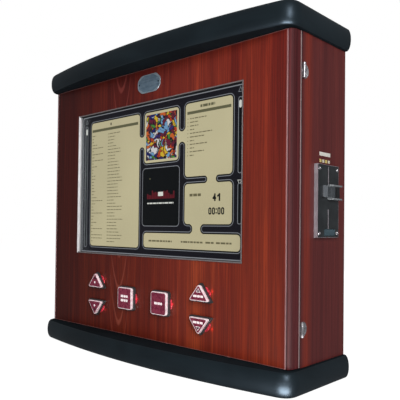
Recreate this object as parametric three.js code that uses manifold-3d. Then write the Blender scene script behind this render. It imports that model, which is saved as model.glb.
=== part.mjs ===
// Wall-mounted coin-operated jukebox: a wooden cabinet between two bowed end caps, with a hinged
// front door that carries the display and six lamp buttons, and a coin acceptor on the right side.
// Millimetres, +Z up, front facing -Y. Origin: middle of the bottom cap's underside.

import * as THREE from 'three';
import { mergeVertices } from 'three/addons/utils/BufferGeometryUtils.js';
import Module from 'manifold-3d';

const wasm = await Module();
wasm.setup();

// ---------------------------------------------------------------- driving dimensions
const GAP = 0.3;                 // between neighbouring pieces
const OVER = 5;                  // how far a cutting tool runs past the material
const SHEET = 1.5;               // sheet metal and thin moulded walls
const BOARD = 15;                // cabinet board thickness
const SIDE_X = 374;              // outer face of the cabinet sides
const BACK_Y = 119;              // rear face of the cabinet and caps
const FRONT_Y = -67.5;           // front face of the door panel
const CABINET_FRONT_Y = -36.5;   // front edges of the cabinet sides
const CAP_HEIGHT = 45;
const WOOD_HEIGHT = 600;
const WOOD_BOTTOM = CAP_HEIGHT;
const WOOD_TOP = WOOD_BOTTOM + WOOD_HEIGHT;

const CAP_EDGE_X = 377;          // cap outline at its flat face, before the bulge
const CAP_CORNER_Y = -77.5;      // front of the outline at its ends
const CAP_BOW = 34;              // how far the middle stands in front of the ends
const CAP_CORNER_RADIUS = 22;
const CAP_BULGE = 9;             // how far the edge swells at half height

const DOOR_EDGE = 1.5;           // door to cap, top and bottom
const PANEL_THICKNESS = 10;
const PANEL_X = 362.2;           // half width of the flat door panel
const POST_BACK_Y = -40;         // rear face of the door's corner posts
const STRIP_THICKNESS = 1.2;

const SCREEN_Z = 397.5;          // middle of the display
const TRIM_WIDTH = 530.6;
const TRIM_HEIGHT = 344.5;
const TRIM_LIP = 1.4;            // lip that covers the edge of the opening
const TRIM_WALL = 1.2;
const TRIM_PROUD = 1.5;
const LCD_WIDTH = 546;
const LCD_HEIGHT = 352;
const LCD_DEPTH = 25;

const BUTTON_PROUD = 11;         // button face in front of the panel
const COLLAR_PROUD = 6;
const COLLAR_WALL = 2;
const LENS_DEPTH = 5.2;
const BUTTON_TRAVEL = 3.5;

const HINGE_X = 378.2;           // door axis
const HINGE_Y = -37.6;
const HINGE_HEIGHT = 27;
const HINGE_CENTRES = { upper: 573.5, lower: 113.5 };
const KNUCKLE_RADIUS = 3;
const PIN_RADIUS = 1.2;
const LEAF = 1.2;

// The coin acceptor's openings, as places along Y (front, rear) and Z (bottom, top).
const COIN_RIDGE = { y: 41, width: 1.6, proud: 0.8, z: [[374, 408], [292, 328]] };
const PLATE = { front: 4.3, rear: 80.3, bottom: 275.6, top: 411.2, proud: 8.2 };
const SLOT = { front: 61, rear: 67, bottom: 349, top: 371 };
const RETURN = { front: 28, rear: 70, bottom: 278.5, top: 291.5 };
const REJECT = { y: 22, z: 361, halfWidth: 8, halfHeight: 10.5 };
const GUIDE = { reach: 10, front: 38, rear: 76, flange: 3, ribs: 6, ribPitch: 3.6 };
const CASH_BOX = { x: [205, 345], y: [-20, 100], z: [WOOD_BOTTOM + BOARD + GAP, 160] };

const LOCK = { y: -8, z: 345, barrel: 9.5, plug: 6.5, head: 12, inside: 30 };
const CAM = { reach: 26, tail: 9, halfWidth: 8 };

const BACK_PANEL = 6;
const FAN = { x: 250, z: 540, size: 80, depth: 25, bore: 37.5, hub: 15, blades: 7, pitch: 42 };
const INLET = { x: -290, z: 110, width: 48, height: 30, depth: 32 };
const HANGING = { x: [-150, 150], z: 585, screwHead: 8, screwNeck: 3.5, drop: 14, rise: 6 };
const VENTS = { x: [-60, 60], z: 150, count: 6, pitch: 14, height: 6 };
const TRAY = { x: [-340, -60], z: [200, 520], lip: 22 };
const MAINBOARD = { x: [-330, -86], z: [220, 464], standoff: 8, inset: 10, board: 1.6 };
const HARD_DRIVE = { x: [-20, 82], z: [300, 447], depth: 26 };
const POWER_SUPPLY = { x: [-220, -70], z: [75, 190], depth: 86, slots: 7, slotPitch: 13 };
const AMPLIFIER = { x: [20, 160], z: [80, 190], depth: 35, fins: 9, finPitch: 16, finDepth: 29 };

// ---------------------------------------------------------------- materials
function material(color, roughness, metalness = 0, extra = {}) {
  return new THREE.MeshStandardMaterial({ color, roughness, metalness, ...extra });
}

const mahogany = material(0x6b241c, 0.45);
const darkMahogany = material(0x4a2024, 0.45);
const bareBoard = material(0x8a6a4c, 0.8);
const capBlack = material(0x1a2226, 0.45);
const plateBlack = material(0x16191b, 0.4);
const steel = material(0x8f9496, 0.35, 1);
const polished = material(0xd8d8da, 0.15, 1);
const zinc = material(0xa8aaa8, 0.5, 1);
const glass = material(0xaec4c8, 0.05, 0, { transparent: true, opacity: 0.25 });
const screenBlack = material(0x14121c, 0.2);
const lampCap = material(0x8a2838, 0.3);
const darkPlastic = material(0x1d1b1e, 0.5);
const tealPlastic = material(0x2c4650, 0.35);
const circuitGreen = material(0x1f5238, 0.6);

// ---------------------------------------------------------------- solids
// A geometry as a manifold solid: only positions, with shared vertices merged.
function solid(geometry) {
  const bare = geometry.clone();
  bare.deleteAttribute('normal');
  bare.deleteAttribute('uv');
  const merged = mergeVertices(bare, 1e-4);
  return new wasm.Manifold(new wasm.Mesh({
    numProp: 3,
    vertProperties: new Float32Array(merged.attributes.position.array),
    triVerts: new Uint32Array(merged.index.array),
  }));
}

function geometryOf(manifold) {
  const mesh = manifold.getMesh();
  const geometry = new THREE.BufferGeometry();
  geometry.setAttribute('position', new THREE.BufferAttribute(mesh.vertProperties, 3));
  geometry.setIndex(new THREE.BufferAttribute(mesh.triVerts, 1));
  geometry.computeVertexNormals();
  return geometry;
}

const joined = (...pieces) => pieces.map(solid).reduce((whole, piece) => whole.add(piece));
const cut = (whole, ...tools) => tools.map(solid).reduce((left, tool) => left.subtract(tool), whole);
const join = (...pieces) => geometryOf(joined(...pieces));
const carve = (body, ...tools) => geometryOf(cut(solid(body), ...tools));

function block([x0, x1], [y0, y1], [z0, z1]) {
  const box = new THREE.BoxGeometry(x1 - x0, y1 - y0, z1 - z0);
  return box.translate((x0 + x1) / 2, (y0 + y1) / 2, (z0 + z1) / 2);
}

// Prisms: a flat outline pushed along one axis between two places on it.
function prismZ(shape, z0, z1, curveSegments = 8) {
  const options = { depth: z1 - z0, bevelEnabled: false, curveSegments };
  return new THREE.ExtrudeGeometry(shape, options).translate(0, 0, z0);
}

const XZ_PLANE = new THREE.Matrix4().makeRotationX(Math.PI / 2);
const YZ_PLANE = new THREE.Matrix4().makeBasis(
  new THREE.Vector3(0, 1, 0), new THREE.Vector3(0, 0, 1), new THREE.Vector3(1, 0, 0));

const prismY = (shape, y0, y1, segments) =>
  prismZ(shape, 0, y1 - y0, segments).applyMatrix4(XZ_PLANE).translate(0, y1, 0);
const prismX = (shape, x0, x1, segments) => prismZ(shape, x0, x1, segments).applyMatrix4(YZ_PLANE);

function rodY(radius, y0, y1, sides = 24) {
  return new THREE.CylinderGeometry(radius, radius, y1 - y0, sides).translate(0, (y0 + y1) / 2, 0);
}
const rodZ = (radius, z0, z1, sides) =>
  rodY(radius, z0, z1, sides).applyMatrix4(XZ_PLANE);
const rodX = (radius, x0, x1, sides) =>
  rodY(radius, -x1, -x0, sides).rotateZ(Math.PI / 2);

function rectangle(width, height) {
  const [w, h] = [width / 2, height / 2];
  return [[-w, -h], [w, -h], [w, h], [-w, h]];
}

// The corners of a convex outline, each edge moved outwards by the same distance.
function grown(corners, distance) {
  return corners.map((corner, i) => {
    const before = corners[(i + corners.length - 1) % corners.length];
    const after = corners[(i + 1) % corners.length];
    const p = new THREE.Vector2(...corner);
    const a = p.clone().sub(new THREE.Vector2(...before)).normalize();
    const b = new THREE.Vector2(...after).sub(p).normalize();
    const spread = (a.x * b.y - a.y * b.x);
    return p.addScaledVector(a.clone().sub(b), distance / spread).toArray();
  });
}

function rounded(corners, radius) {
  const points = corners.map((corner) => new THREE.Vector2(...corner));
  const shape = new THREE.Shape();
  points.forEach((p, i) => {
    const before = points[(i + points.length - 1) % points.length];
    const after = points[(i + 1) % points.length];
    const start = p.clone().add(before.clone().sub(p).setLength(radius));
    const end = p.clone().add(after.clone().sub(p).setLength(radius));
    if (i === 0) shape.moveTo(start.x, start.y);
    else shape.lineTo(start.x, start.y);
    shape.quadraticCurveTo(p.x, p.y, end.x, end.y);
  });
  shape.closePath();
  return shape;
}

function piece(name, geometry, look, position = [0, 0, 0]) {
  const mesh = new THREE.Mesh(geometry, look);
  mesh.name = name;
  mesh.position.set(...position);
  return mesh;
}

// ---------------------------------------------------------------- end caps
// The front of the outline is a shallow parabola between two rounded corners.
function capOutline() {
  const x = CAP_EDGE_X;
  const start = x - CAP_CORNER_RADIUS;
  const bowY = (at) => CAP_CORNER_Y - CAP_BOW * (1 - (at / x) ** 2);
  const sideY = CAP_CORNER_Y + CAP_CORNER_RADIUS;
  const behind = BACK_Y + 2 * CAP_BULGE;
  const steps = 20;
  const shape = new THREE.Shape();
  shape.moveTo(-x, behind);
  shape.lineTo(-x, sideY);
  shape.quadraticCurveTo(-x, CAP_CORNER_Y, -start, bowY(start));
  for (let i = 1; i <= steps; i += 1) {
    const at = start * (2 * i / steps - 1);
    shape.lineTo(at, bowY(at));
  }
  shape.quadraticCurveTo(x, CAP_CORNER_Y, x, sideY);
  shape.lineTo(x, behind);
  shape.closePath();
  return shape;
}

// One moulding: flat face at z = 0, edges that swell to half height, a pocket on the cabinet side.
function capMoulding() {
  const core = 1;
  const bevel = (CAP_HEIGHT - core) / 2;
  const body = new THREE.ExtrudeGeometry(capOutline(), {
    depth: core, bevelThickness: bevel, bevelSize: CAP_BULGE, bevelSegments: 7, curveSegments: 8,
  }).translate(0, 0, bevel);
  const behind = block([-500, 500], [BACK_Y, BACK_Y + 60], [-10, CAP_HEIGHT + 10]);
  const pocket = block([-345, 345], [-25, BACK_Y - 12], [13, CAP_HEIGHT + 10]);
  return cut(solid(body), behind, pocket);
}

function endCaps() {
  const bottom = geometryOf(capMoulding());
  const top = geometryOf(capMoulding().mirror([0, 0, 1])).translate(0, 0, 2 * CAP_HEIGHT + WOOD_HEIGHT);
  return [piece('bottom_cap', bottom, capBlack), piece('top_cap', top, capBlack)];
}

// ---------------------------------------------------------------- cabinet
const panelRange = [WOOD_BOTTOM + GAP, WOOD_TOP - GAP];
const insideX = [-SIDE_X + BOARD + GAP, SIDE_X - BOARD - GAP];
const wall = BACK_Y - BACK_PANEL - GAP;     // what the fittings on the back panel stand against
const between = (count) => [...Array(count).keys()];

function sidePanels() {
  const left = block([-SIDE_X, -SIDE_X + BOARD], [CABINET_FRONT_Y, BACK_Y], panelRange);
  const right = block([SIDE_X - BOARD, SIDE_X], [CABINET_FRONT_Y, BACK_Y], panelRange);
  const lockHole = rodX(LOCK.barrel + GAP, -SIDE_X - OVER, -SIDE_X + BOARD + OVER)
    .translate(0, LOCK.y, LOCK.z);
  const cover = 8;                   // the faceplate's overlap round the hole
  const coinHole = block([SIDE_X - BOARD - OVER, SIDE_X + OVER],
    [PLATE.front + cover, PLATE.rear - cover], [RETURN.bottom - GAP, PLATE.top - cover]);
  return [
    piece('left_side_panel', carve(left, lockHole), darkMahogany),
    piece('right_side_panel', carve(right, coinHole), darkMahogany),
  ];
}

function boards() {
  const depth = [CABINET_FRONT_Y, BACK_Y];
  const top = block(insideX, depth, [WOOD_TOP - BOARD, WOOD_TOP - GAP]);
  const bottom = block(insideX, depth, [WOOD_BOTTOM + GAP, WOOD_BOTTOM + BOARD]);
  return [
    piece('top_board', top, bareBoard),
    piece('bottom_board', bottom, bareBoard),
  ];
}

function backPanel() {
  const sheet = block(insideX, [BACK_Y - BACK_PANEL, BACK_Y],
    [WOOD_BOTTOM + BOARD + GAP, WOOD_TOP - BOARD - GAP]);
  const through = [BACK_Y - BACK_PANEL - OVER, BACK_Y + OVER];
  const fanHole = rodY(FAN.bore, ...through, 32).translate(FAN.x, 0, FAN.z);
  const inletHole = block([INLET.x - INLET.width / 2 - GAP, INLET.x + INLET.width / 2 + GAP], through,
    [INLET.z - INLET.height / 2 - GAP, INLET.z + INLET.height / 2 + GAP]);
  const room = HANGING.screwHead + 3;
  const keyholes = HANGING.x.map((x) => block([x - room, x + room], through,
    [HANGING.z - HANGING.drop - room - 1, HANGING.z + HANGING.rise + 6]));
  const slots = between(VENTS.count).map((i) => VENTS.z + i * VENTS.pitch).map((z) =>
    block(VENTS.x, through, [z, z + VENTS.height]));
  return piece('back_panel', carve(sheet, fanHole, inletHole, ...keyholes, ...slots), bareBoard);
}

// Steel plate behind the back panel that hangs on two wall screws by its keyholes.
function hangingPlate() {
  const { screwHead, screwNeck, drop, rise } = HANGING;
  const side = HANGING.x[1] + 40;
  const plate = block([-side, side], [wall - 2.5, wall],
    [HANGING.z - drop - 24, HANGING.z + rise + 22]);
  const through = [wall - 2 * OVER, wall + OVER];
  const holes = HANGING.x.flatMap((x) => [
    rodY(screwHead, ...through, 20).translate(x, 0, HANGING.z - drop),
    block([x - screwNeck, x + screwNeck], through, [HANGING.z - drop, HANGING.z + rise]),
    rodY(screwNeck, ...through, 16).translate(x, 0, HANGING.z + rise),
  ]);
  return piece('hanging_plate', carve(plate, ...holes), zinc);
}

// ---------------------------------------------------------------- door lock, on the left side
// At rest the cam points at the door and lets it go; a quarter turn brings it down behind the catch.
function lock() {
  const mouth = -SIDE_X - 3;
  const rear = -SIDE_X + LOCK.inside;
  const barrel = join(
    rodX(LOCK.barrel, -SIDE_X - 1, rear),
    rodX(LOCK.head, mouth, -SIDE_X - GAP));
  const bored = carve(barrel, rodX(LOCK.plug + GAP, mouth - OVER, rear + OVER));
  const keyway = block([mouth - OVER, mouth + 14], [-1, 1], [-4, 4]);
  const plug = carve(join(
    rodX(LOCK.plug, mouth - 0.4, rear + 1),
    block([rear + 0.5, rear + 6], [-3.5, 3.5], [-3.5, 3.5])), keyway);
  const cam = carve(
    block([rear + 1.6, rear + 4.4], [-CAM.reach, CAM.tail], [-CAM.halfWidth, CAM.halfWidth]),
    block([rear, rear + 8], [-3.8, 3.8], [-3.8, 3.8]));
  const group = new THREE.Group();
  group.position.set(0, LOCK.y, LOCK.z);
  group.add(piece('lock_barrel', bored, polished), piece('lock_plug', plug, zinc),
    piece('lock_cam', cam, zinc));
  return group;
}

// ---------------------------------------------------------------- coin acceptor, on the right side
const rejectWindow = (clearance) => [[REJECT.y, REJECT.halfWidth], [REJECT.z, REJECT.halfHeight]]
  .map(([centre, half]) => [centre - half - clearance, centre + half + clearance]);

function coinFaceplate() {
  const face = SIDE_X + PLATE.proud;
  const body = block([SIDE_X + GAP, face], [PLATE.front, PLATE.rear], [PLATE.bottom, PLATE.top]);
  const { y, width, proud, z } = COIN_RIDGE;
  const raised = [face - 1, face + proud];
  const ridges = z.map((range) => block(raised, [y - width / 2, y + width / 2], range));
  const rim = block(raised, [y + 1, PLATE.rear - 2], [RETURN.top + 0.5, RETURN.top + 0.5 + width]);
  const through = [SIDE_X - OVER, face + OVER];
  const slotHole = block(through, [SLOT.front - 0.5, SLOT.rear + 0.5],
    [SLOT.bottom - 0.5, SLOT.top + 0.5]);
  const rejectHole = block(through, ...rejectWindow(0.4));
  const returnHole = block(through, [RETURN.front, RETURN.rear], [RETURN.bottom, RETURN.top]);
  return piece('coin_faceplate',
    geometryOf(cut(joined(body, ...ridges, rim), slotHole, rejectHole, returnHole)), plateBlack);
}

// Two flanges lead a coin on edge into the slot between a ribbed cheek and a low rear cheek.
function coinEntryGuide() {
  const base = SIDE_X + PLATE.proud + GAP;
  const { reach, front, rear, flange, ribs, ribPitch } = GUIDE;
  const tip = base + reach;
  const slant = reach / 2;
  const wing = (z0, z1) => prismZ(new THREE.Shape([
    [base, front], [base + slant, front], [tip, front + slant], [tip, rear], [base, rear],
  ].map(([x, y]) => new THREE.Vector2(x, y))), z0, z1);
  const footing = block([base, base + flange], [front, rear],
    [SLOT.bottom - flange, SLOT.top + flange]);
  const cheekZ = [SLOT.bottom - 1, SLOT.top + 1];
  const ridges = between(ribs).map((i) => front + 1 + i * ribPitch).map((y) =>
    block([base + 7, base + 9], [y, y + ribPitch / 2], cheekZ));
  const frontCheek = block([base, base + 7.5], [front, SLOT.front], cheekZ);
  const rearCheek = block([base, base + 4.5], [SLOT.rear, rear], cheekZ);
  const solidGuide = joined(footing, frontCheek, rearCheek, ...ridges,
    wing(SLOT.top, SLOT.top + flange), wing(SLOT.bottom - flange, SLOT.bottom));
  const mouth = block([base - OVER, tip + OVER], [SLOT.front, SLOT.rear], [SLOT.bottom, SLOT.top]);
  return piece('coin_entry_guide', geometryOf(cut(solidGuide, mouth)), steel);
}

function rejectButton() {
  const face = SIDE_X + PLATE.proud + 6;
  const [wide, high] = rejectWindow(0);
  const core = block([SIDE_X - 12, face - 1.5], wide, high);
  const ribs = [-2, -1, 0, 1, 2].map((i) => REJECT.y + i * 3.2).map((y) =>
    block([face - 2, face], [y - 0.8, y + 0.8], high));
  return piece('coin_reject_button', join(core, ...ribs), tealPlastic);
}

// The flap hangs on a pin at its top edge and swings into the cup.
function returnFlap() {
  const x = SIDE_X + PLATE.proud - 2.2;
  const width = [RETURN.front + 0.6, RETURN.rear - 0.6];
  const pinZ = RETURN.top - 1.6;
  const leaf = block([x - 1, x + 1], width, [RETURN.bottom + 0.6, pinZ]);
  const barrel = rodY(1.3, ...width, 12).translate(x, 0, pinZ);
  return piece('coin_return_flap', join(leaf, barrel), tealPlastic);
}

// A tray behind the flap, open to the flap in front and to the validator above.
function returnCup() {
  const rear = SIDE_X - BOARD - 18;
  const top = RETURN.top + 24;
  const shell = block([rear, SIDE_X - GAP], [RETURN.front - SHEET, RETURN.rear + SHEET],
    [RETURN.bottom, top]);
  const hollow = block([rear + SHEET, SIDE_X + OVER], [RETURN.front, RETURN.rear],
    [RETURN.bottom + SHEET, top + OVER]);
  return piece('coin_return_cup', carve(shell, hollow), darkPlastic);
}

function coinValidator() {
  const outer = SIDE_X - 1;
  const body = block([SIDE_X - 78, outer], [PLATE.front + 12, PLATE.rear - 12],
    [RETURN.top + 26, PLATE.top - 12]);
  const rejectWell = block([SIDE_X - 20, outer + OVER], ...rejectWindow(1));
  const coinSlot = block([outer - 45, outer + OVER], [SLOT.front - 0.5, SLOT.rear + 0.5],
    [SLOT.bottom - 0.5, SLOT.top + 0.5]);
  const latchPlate = block([SIDE_X - 60, SIDE_X - 40], [PLATE.front + 9, PLATE.front + 13], [335, 385]);
  return piece('coin_validator',
    geometryOf(cut(joined(body, latchPlate), rejectWell, coinSlot)), darkPlastic);
}

// An upright duct that drops accepted coins from the validator into the cash box.
function coinChute() {
  const [x, y, z] = [[298, 338], [28, 64], [CASH_BOX.z[1] + 8, RETURN.top + 25]];
  const inner = block([x[0] + SHEET, x[1] - SHEET], [y[0] + SHEET, y[1] - SHEET],
    [z[0] - OVER, z[1] + OVER]);
  return piece('coin_chute', carve(block(x, y, z), inner), zinc);
}

function cashBox() {
  const { x, y, z } = CASH_BOX;
  const inner = block([x[0] + SHEET, x[1] - SHEET], [y[0] + SHEET, y[1] - SHEET],
    [z[0] + SHEET, z[1] + OVER]);
  const pull = block([260, 290], [y[0] - 4, y[0] + 0.5], [z[1] - 22, z[1] - 14]);
  return piece('cash_box', geometryOf(cut(joined(block(x, y, z), pull), inner)), zinc);
}

// ---------------------------------------------------------------- electronics, on the back panel
function computerTray() {
  const { x, z, lip } = TRAY;
  const post = 3;
  const postPlaces = MAINBOARD.x.flatMap((edgeX, i) => MAINBOARD.z.map((edgeZ, j) =>
    [edgeX + (i ? -1 : 1) * MAINBOARD.inset, edgeZ + (j ? -1 : 1) * MAINBOARD.inset]));
  return piece('computer_tray', join(
    block(x, [wall - SHEET, wall], z),
    block([x[0], x[0] + SHEET], [wall - lip, wall - 1], z),
    block([x[1] - SHEET, x[1]], [wall - lip, wall - 1], z),
    ...postPlaces.map(([px, pz]) =>
      rodY(post, wall - MAINBOARD.standoff, wall - 1, 10).translate(px, 0, pz))), zinc);
}

// The board with its processor cooler, two memory modules, three card slots and rear sockets.
function mainboard() {
  const { x, z, standoff, board } = MAINBOARD;
  const back = wall - standoff - GAP;
  const part = (rangeX, height, rangeZ) => block(rangeX, [back - height, back - 1], rangeZ);
  return piece('mainboard', join(
    block(x, [back - board, back], z),
    part([-260, -200], 38, [350, 410]),
    ...between(2).map((i) => -150 + i * 12).map((at) => part([at, at + 6], 30, [300, 435])),
    ...between(3).map((i) => 240 + i * 22).map((at) => part([-320, -240], 12, [at, at + 8])),
    part([-320, -290], 24, [310, 450])), circuitGreen);
}

// A sheet steel case with cooling slots in the face towards the door.
function powerSupply() {
  const { x, z, depth, slots, slotPitch } = POWER_SUPPLY;
  const y = [wall - depth, wall];
  const inner = block(...[x, y, z].map(([low, high]) => [low + SHEET, high - SHEET]));
  const cuts = between(slots).map((i) => z[0] + 15 + i * slotPitch).map((at) =>
    block([x[0] + 20, x[1] - 20], [y[0] - OVER, y[0] + OVER], [at, at + 5]));
  return piece('power_supply', carve(block(x, y, z), inner, ...cuts), zinc);
}

function amplifier() {
  const { x, z, depth, fins, finPitch, finDepth } = AMPLIFIER;
  const front = wall - depth;
  const row = between(fins).map((i) => x[0] + 4 + i * finPitch).map((at) =>
    block([at, at + 4], [front - finDepth, front + 1], z));
  return piece('audio_amplifier', join(block(x, [front, wall], z), ...row), darkPlastic);
}

function electronics() {
  const drive = block(HARD_DRIVE.x, [wall - HARD_DRIVE.depth, wall], HARD_DRIVE.z);
  return [computerTray(), mainboard(), piece('hard_drive', drive, steel), powerSupply(), amplifier()];
}

function fan() {
  const half = FAN.size / 2;
  const frame = carve(
    block([-half, half], [wall - FAN.depth, wall], [-half, half]),
    rodY(FAN.bore, wall - FAN.depth - OVER, wall + OVER, 32));
  const struts = between(3).map((i) =>
    block([0, FAN.bore + 1], [wall - 4, wall], [-2, 2]).rotateY(i * 2 * Math.PI / 3));
  const motor = rodY(FAN.hub - 1, wall - 5, wall, 20);
  const housing = join(frame, ...struts, motor);
  const blades = between(FAN.blades).map((i) =>
    block([FAN.hub - 3, FAN.bore - 1.2], [-1, 1], [-9, 9])
      .rotateX(THREE.MathUtils.degToRad(FAN.pitch))
      .translate(0, wall - 15, 0)
      .rotateY(i * 2 * Math.PI / FAN.blades));
  const rotor = join(rodY(FAN.hub, wall - FAN.depth + 2, wall - 6, 24), ...blades);
  const group = new THREE.Group();
  group.position.set(FAN.x, 0, FAN.z);
  group.add(piece('fan_housing', housing, darkPlastic), piece('fan_rotor', rotor, darkPlastic));
  return group;
}

function mainsInlet() {
  const { width: w, height: h, depth } = INLET;
  const shell = block([-w / 2, w / 2], [BACK_Y - depth, BACK_Y - 0.5], [-h / 2, h / 2]);
  const socket = block([-13, 13], [BACK_Y - 18, BACK_Y + OVER], [-9, 9]);
  const pins = [-7, 0, 7].map((x) =>
    block([x - 1, x + 1], [BACK_Y - 19, BACK_Y - 5], x ? [-3, 1] : [0, 4]));
  const whole = cut(solid(shell), socket).add(joined(...pins));
  return piece('mains_inlet', geometryOf(whole), darkPlastic, [INLET.x, 0, INLET.z]);
}

// ---------------------------------------------------------------- door
const doorRange = [WOOD_BOTTOM + DOOR_EDGE, WOOD_TOP - DOOR_EDGE];
const panelBack = FRONT_Y + PANEL_THICKNESS;

// Outlines about each button's centre; stem is the plunger's height above that centre.
const upArrow = [[-27, -17], [27, -17], [0, 17]];
const downArrow = [[-27, 17], [0, -17], [27, 17]];
const square = rectangle(47.5, 48.5);
const BUTTONS = [
  { name: 'left_up', corners: upArrow, x: -174, z: 163.4, stem: -4 },
  { name: 'left_down', corners: downArrow, x: -174, z: 97, stem: 4 },
  { name: 'select_one', corners: square, x: -63, z: 130, stem: 0 },
  { name: 'select_two', corners: square, x: 49.5, z: 130, stem: 0 },
  { name: 'right_up', corners: upArrow, x: 165.5, z: 163.4, stem: -4 },
  { name: 'right_down', corners: downArrow, x: 165.5, z: 97, stem: 4 },
];
const STEM = 5;                  // half width of the square plunger
const NECK = 10;                 // half width of the housing where it passes the panel

function doorPanel() {
  const sheet = block([-PANEL_X, PANEL_X], [FRONT_Y, panelBack], doorRange);
  const through = [FRONT_Y - OVER, panelBack + OVER];
  const w = TRIM_WIDTH / 2 - TRIM_LIP + GAP;
  const h = TRIM_HEIGHT / 2 - TRIM_LIP + GAP;
  const opening = block([-w, w], through, [SCREEN_Z - h, SCREEN_Z + h]);
  const holes = BUTTONS.map(({ x, z, stem }) => block(
    [x - NECK - GAP, x + NECK + GAP], through, [z + stem - NECK - GAP, z + stem + NECK + GAP]));
  return piece('door_panel', carve(sheet, opening, ...holes), mahogany);
}

// Corner posts: flat inside, rolling over from the front face into the side of the cabinet.
function doorPost(side) {
  const inner = PANEL_X + GAP;
  const shape = new THREE.Shape();
  shape.moveTo(inner, FRONT_Y);
  shape.quadraticCurveTo(SIDE_X, FRONT_Y, SIDE_X, FRONT_Y + 17);
  shape.lineTo(SIDE_X, POST_BACK_Y);
  shape.lineTo(inner, POST_BACK_Y);
  shape.closePath();
  const post = prismZ(shape, ...doorRange, 8);
  return side > 0 ? post : geometryOf(solid(post).mirror([1, 0, 0]));
}

function doorFrame() {
  const railY = [panelBack + GAP, POST_BACK_Y];
  const across = [-PANEL_X, PANEL_X];
  const stripY = [POST_BACK_Y + GAP, POST_BACK_Y + GAP + STRIP_THICKNESS];
  const stripX = [352, SIDE_X];
  return [
    piece('door_right_post', doorPost(1), darkMahogany),
    piece('door_left_post', doorPost(-1), darkMahogany),
    piece('door_top_rail', block(across, railY, [doorRange[1] - 24, doorRange[1]]), bareBoard),
    piece('door_bottom_rail', block(across, railY, [doorRange[0], doorRange[0] + 24]), bareBoard),
    piece('door_right_strip', block(stripX, stripY, doorRange), steel),
    piece('door_left_strip', block([-stripX[1], -stripX[0]], stripY, doorRange), steel),
  ];
}

function frameOutline(width, height, hole) {
  const shape = new THREE.Shape(rectangle(width, height).map(([x, y]) => new THREE.Vector2(x, y)));
  const [w, h] = hole;
  shape.holes.push(new THREE.Path(rectangle(w, h).reverse().map(([x, y]) => new THREE.Vector2(x, y))));
  return shape;
}

function display() {
  const neckWidth = TRIM_WIDTH - 2 * TRIM_LIP;
  const neckHeight = TRIM_HEIGHT - 2 * TRIM_LIP;
  const hole = [neckWidth - 2 * TRIM_WALL, neckHeight - 2 * TRIM_WALL];
  const trim = join(
    prismY(frameOutline(TRIM_WIDTH, TRIM_HEIGHT, hole), FRONT_Y - GAP - TRIM_PROUD, FRONT_Y - GAP),
    prismY(frameOutline(neckWidth, neckHeight, hole), FRONT_Y - GAP - 0.5, panelBack - GAP));
  const pane = block([-hole[0] / 2 + GAP, hole[0] / 2 - GAP], [panelBack - 3, panelBack - GAP],
    [-hole[1] / 2 + GAP, hole[1] / 2 - GAP]);
  const lcdFront = panelBack + 0.6;
  const lcd = block([-LCD_WIDTH / 2, LCD_WIDTH / 2], [lcdFront, lcdFront + LCD_DEPTH],
    [-LCD_HEIGHT / 2, LCD_HEIGHT / 2]);
  const edge = LCD_WIDTH / 2 + GAP;
  const bracket = (side) => join(
    block([edge, edge + 26].map((x) => x * side).sort((a, b) => a - b),
      [panelBack + GAP, panelBack + GAP + 2], [-150, 150]),
    block([edge, edge + 2].map((x) => x * side).sort((a, b) => a - b),
      [panelBack + GAP, lcdFront + LCD_DEPTH - 3], [-150, 150]));
  const group = new THREE.Group();
  group.position.set(0, 0, SCREEN_Z);
  group.add(
    piece('screen_trim', trim, polished),
    piece('screen_glass', pane, glass),
    piece('lcd_panel', lcd, screenBlack),
    piece('lcd_right_bracket', bracket(1), zinc),
    piece('lcd_left_bracket', bracket(-1), zinc));
  return group;
}

// A lamp button: a collar and switch body fixed to the panel, and a lens cap on a square plunger.
function lampButton({ name, corners, x, z, stem }) {
  const face = FRONT_Y - BUTTON_PROUD;
  const capBack = face + LENS_DEPTH;
  const collarFront = FRONT_Y - COLLAR_PROUD;
  const seat = FRONT_Y - GAP;
  const switchBack = panelBack + 30;
  const plunger = (half, y0, y1) => block([-half, half], [y0, y1], [stem - half, stem + half]);
  const pocketFloor = capBack + BUTTON_TRAVEL + 0.4;
  const collarOutline = rounded(grown(corners, GAP + COLLAR_WALL), 6);
  const collar = cut(
    joined(
      prismY(collarOutline, collarFront, seat, 4),
      plunger(NECK, seat - 0.5, switchBack)),
    prismY(rounded(grown(corners, GAP), 5), collarFront - OVER, pocketFloor, 4),
    plunger(STEM + GAP, collarFront - OVER, switchBack - 6));
  const edge = 0.8;                  // rounding round the cap's face
  const lens = new THREE.ExtrudeGeometry(rounded(grown(corners, -edge), 5), {
    depth: LENS_DEPTH - edge, bevelThickness: edge, bevelSize: edge, bevelSegments: 2, curveSegments: 4,
  }).translate(0, 0, edge);
  const cap = cut(solid(lens.applyMatrix4(XZ_PLANE).translate(0, capBack, 0)),
    block([-60, 60], [capBack, capBack + 20], [-60, 60]))
    .add(solid(plunger(STEM, capBack - 1, capBack + 20)));
  const group = new THREE.Group();
  group.position.set(x, 0, z);
  group.add(
    piece(`${name}_button_housing`, geometryOf(collar), darkPlastic),
    piece(`${name}_button_cap`, geometryOf(cap), lampCap));
  return group;
}

function namePlate() {
  const outline = [[-37, -9], [-24, -20], [24, -20], [37, -9], [37, 9], [24, 20], [-24, 20], [-37, 9]];
  const plate = prismY(rounded(outline, 5), FRONT_Y - GAP - 1.5, FRONT_Y - GAP, 4);
  return piece('name_plate', plate, steel, [-1, 0, 609]);
}

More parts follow.
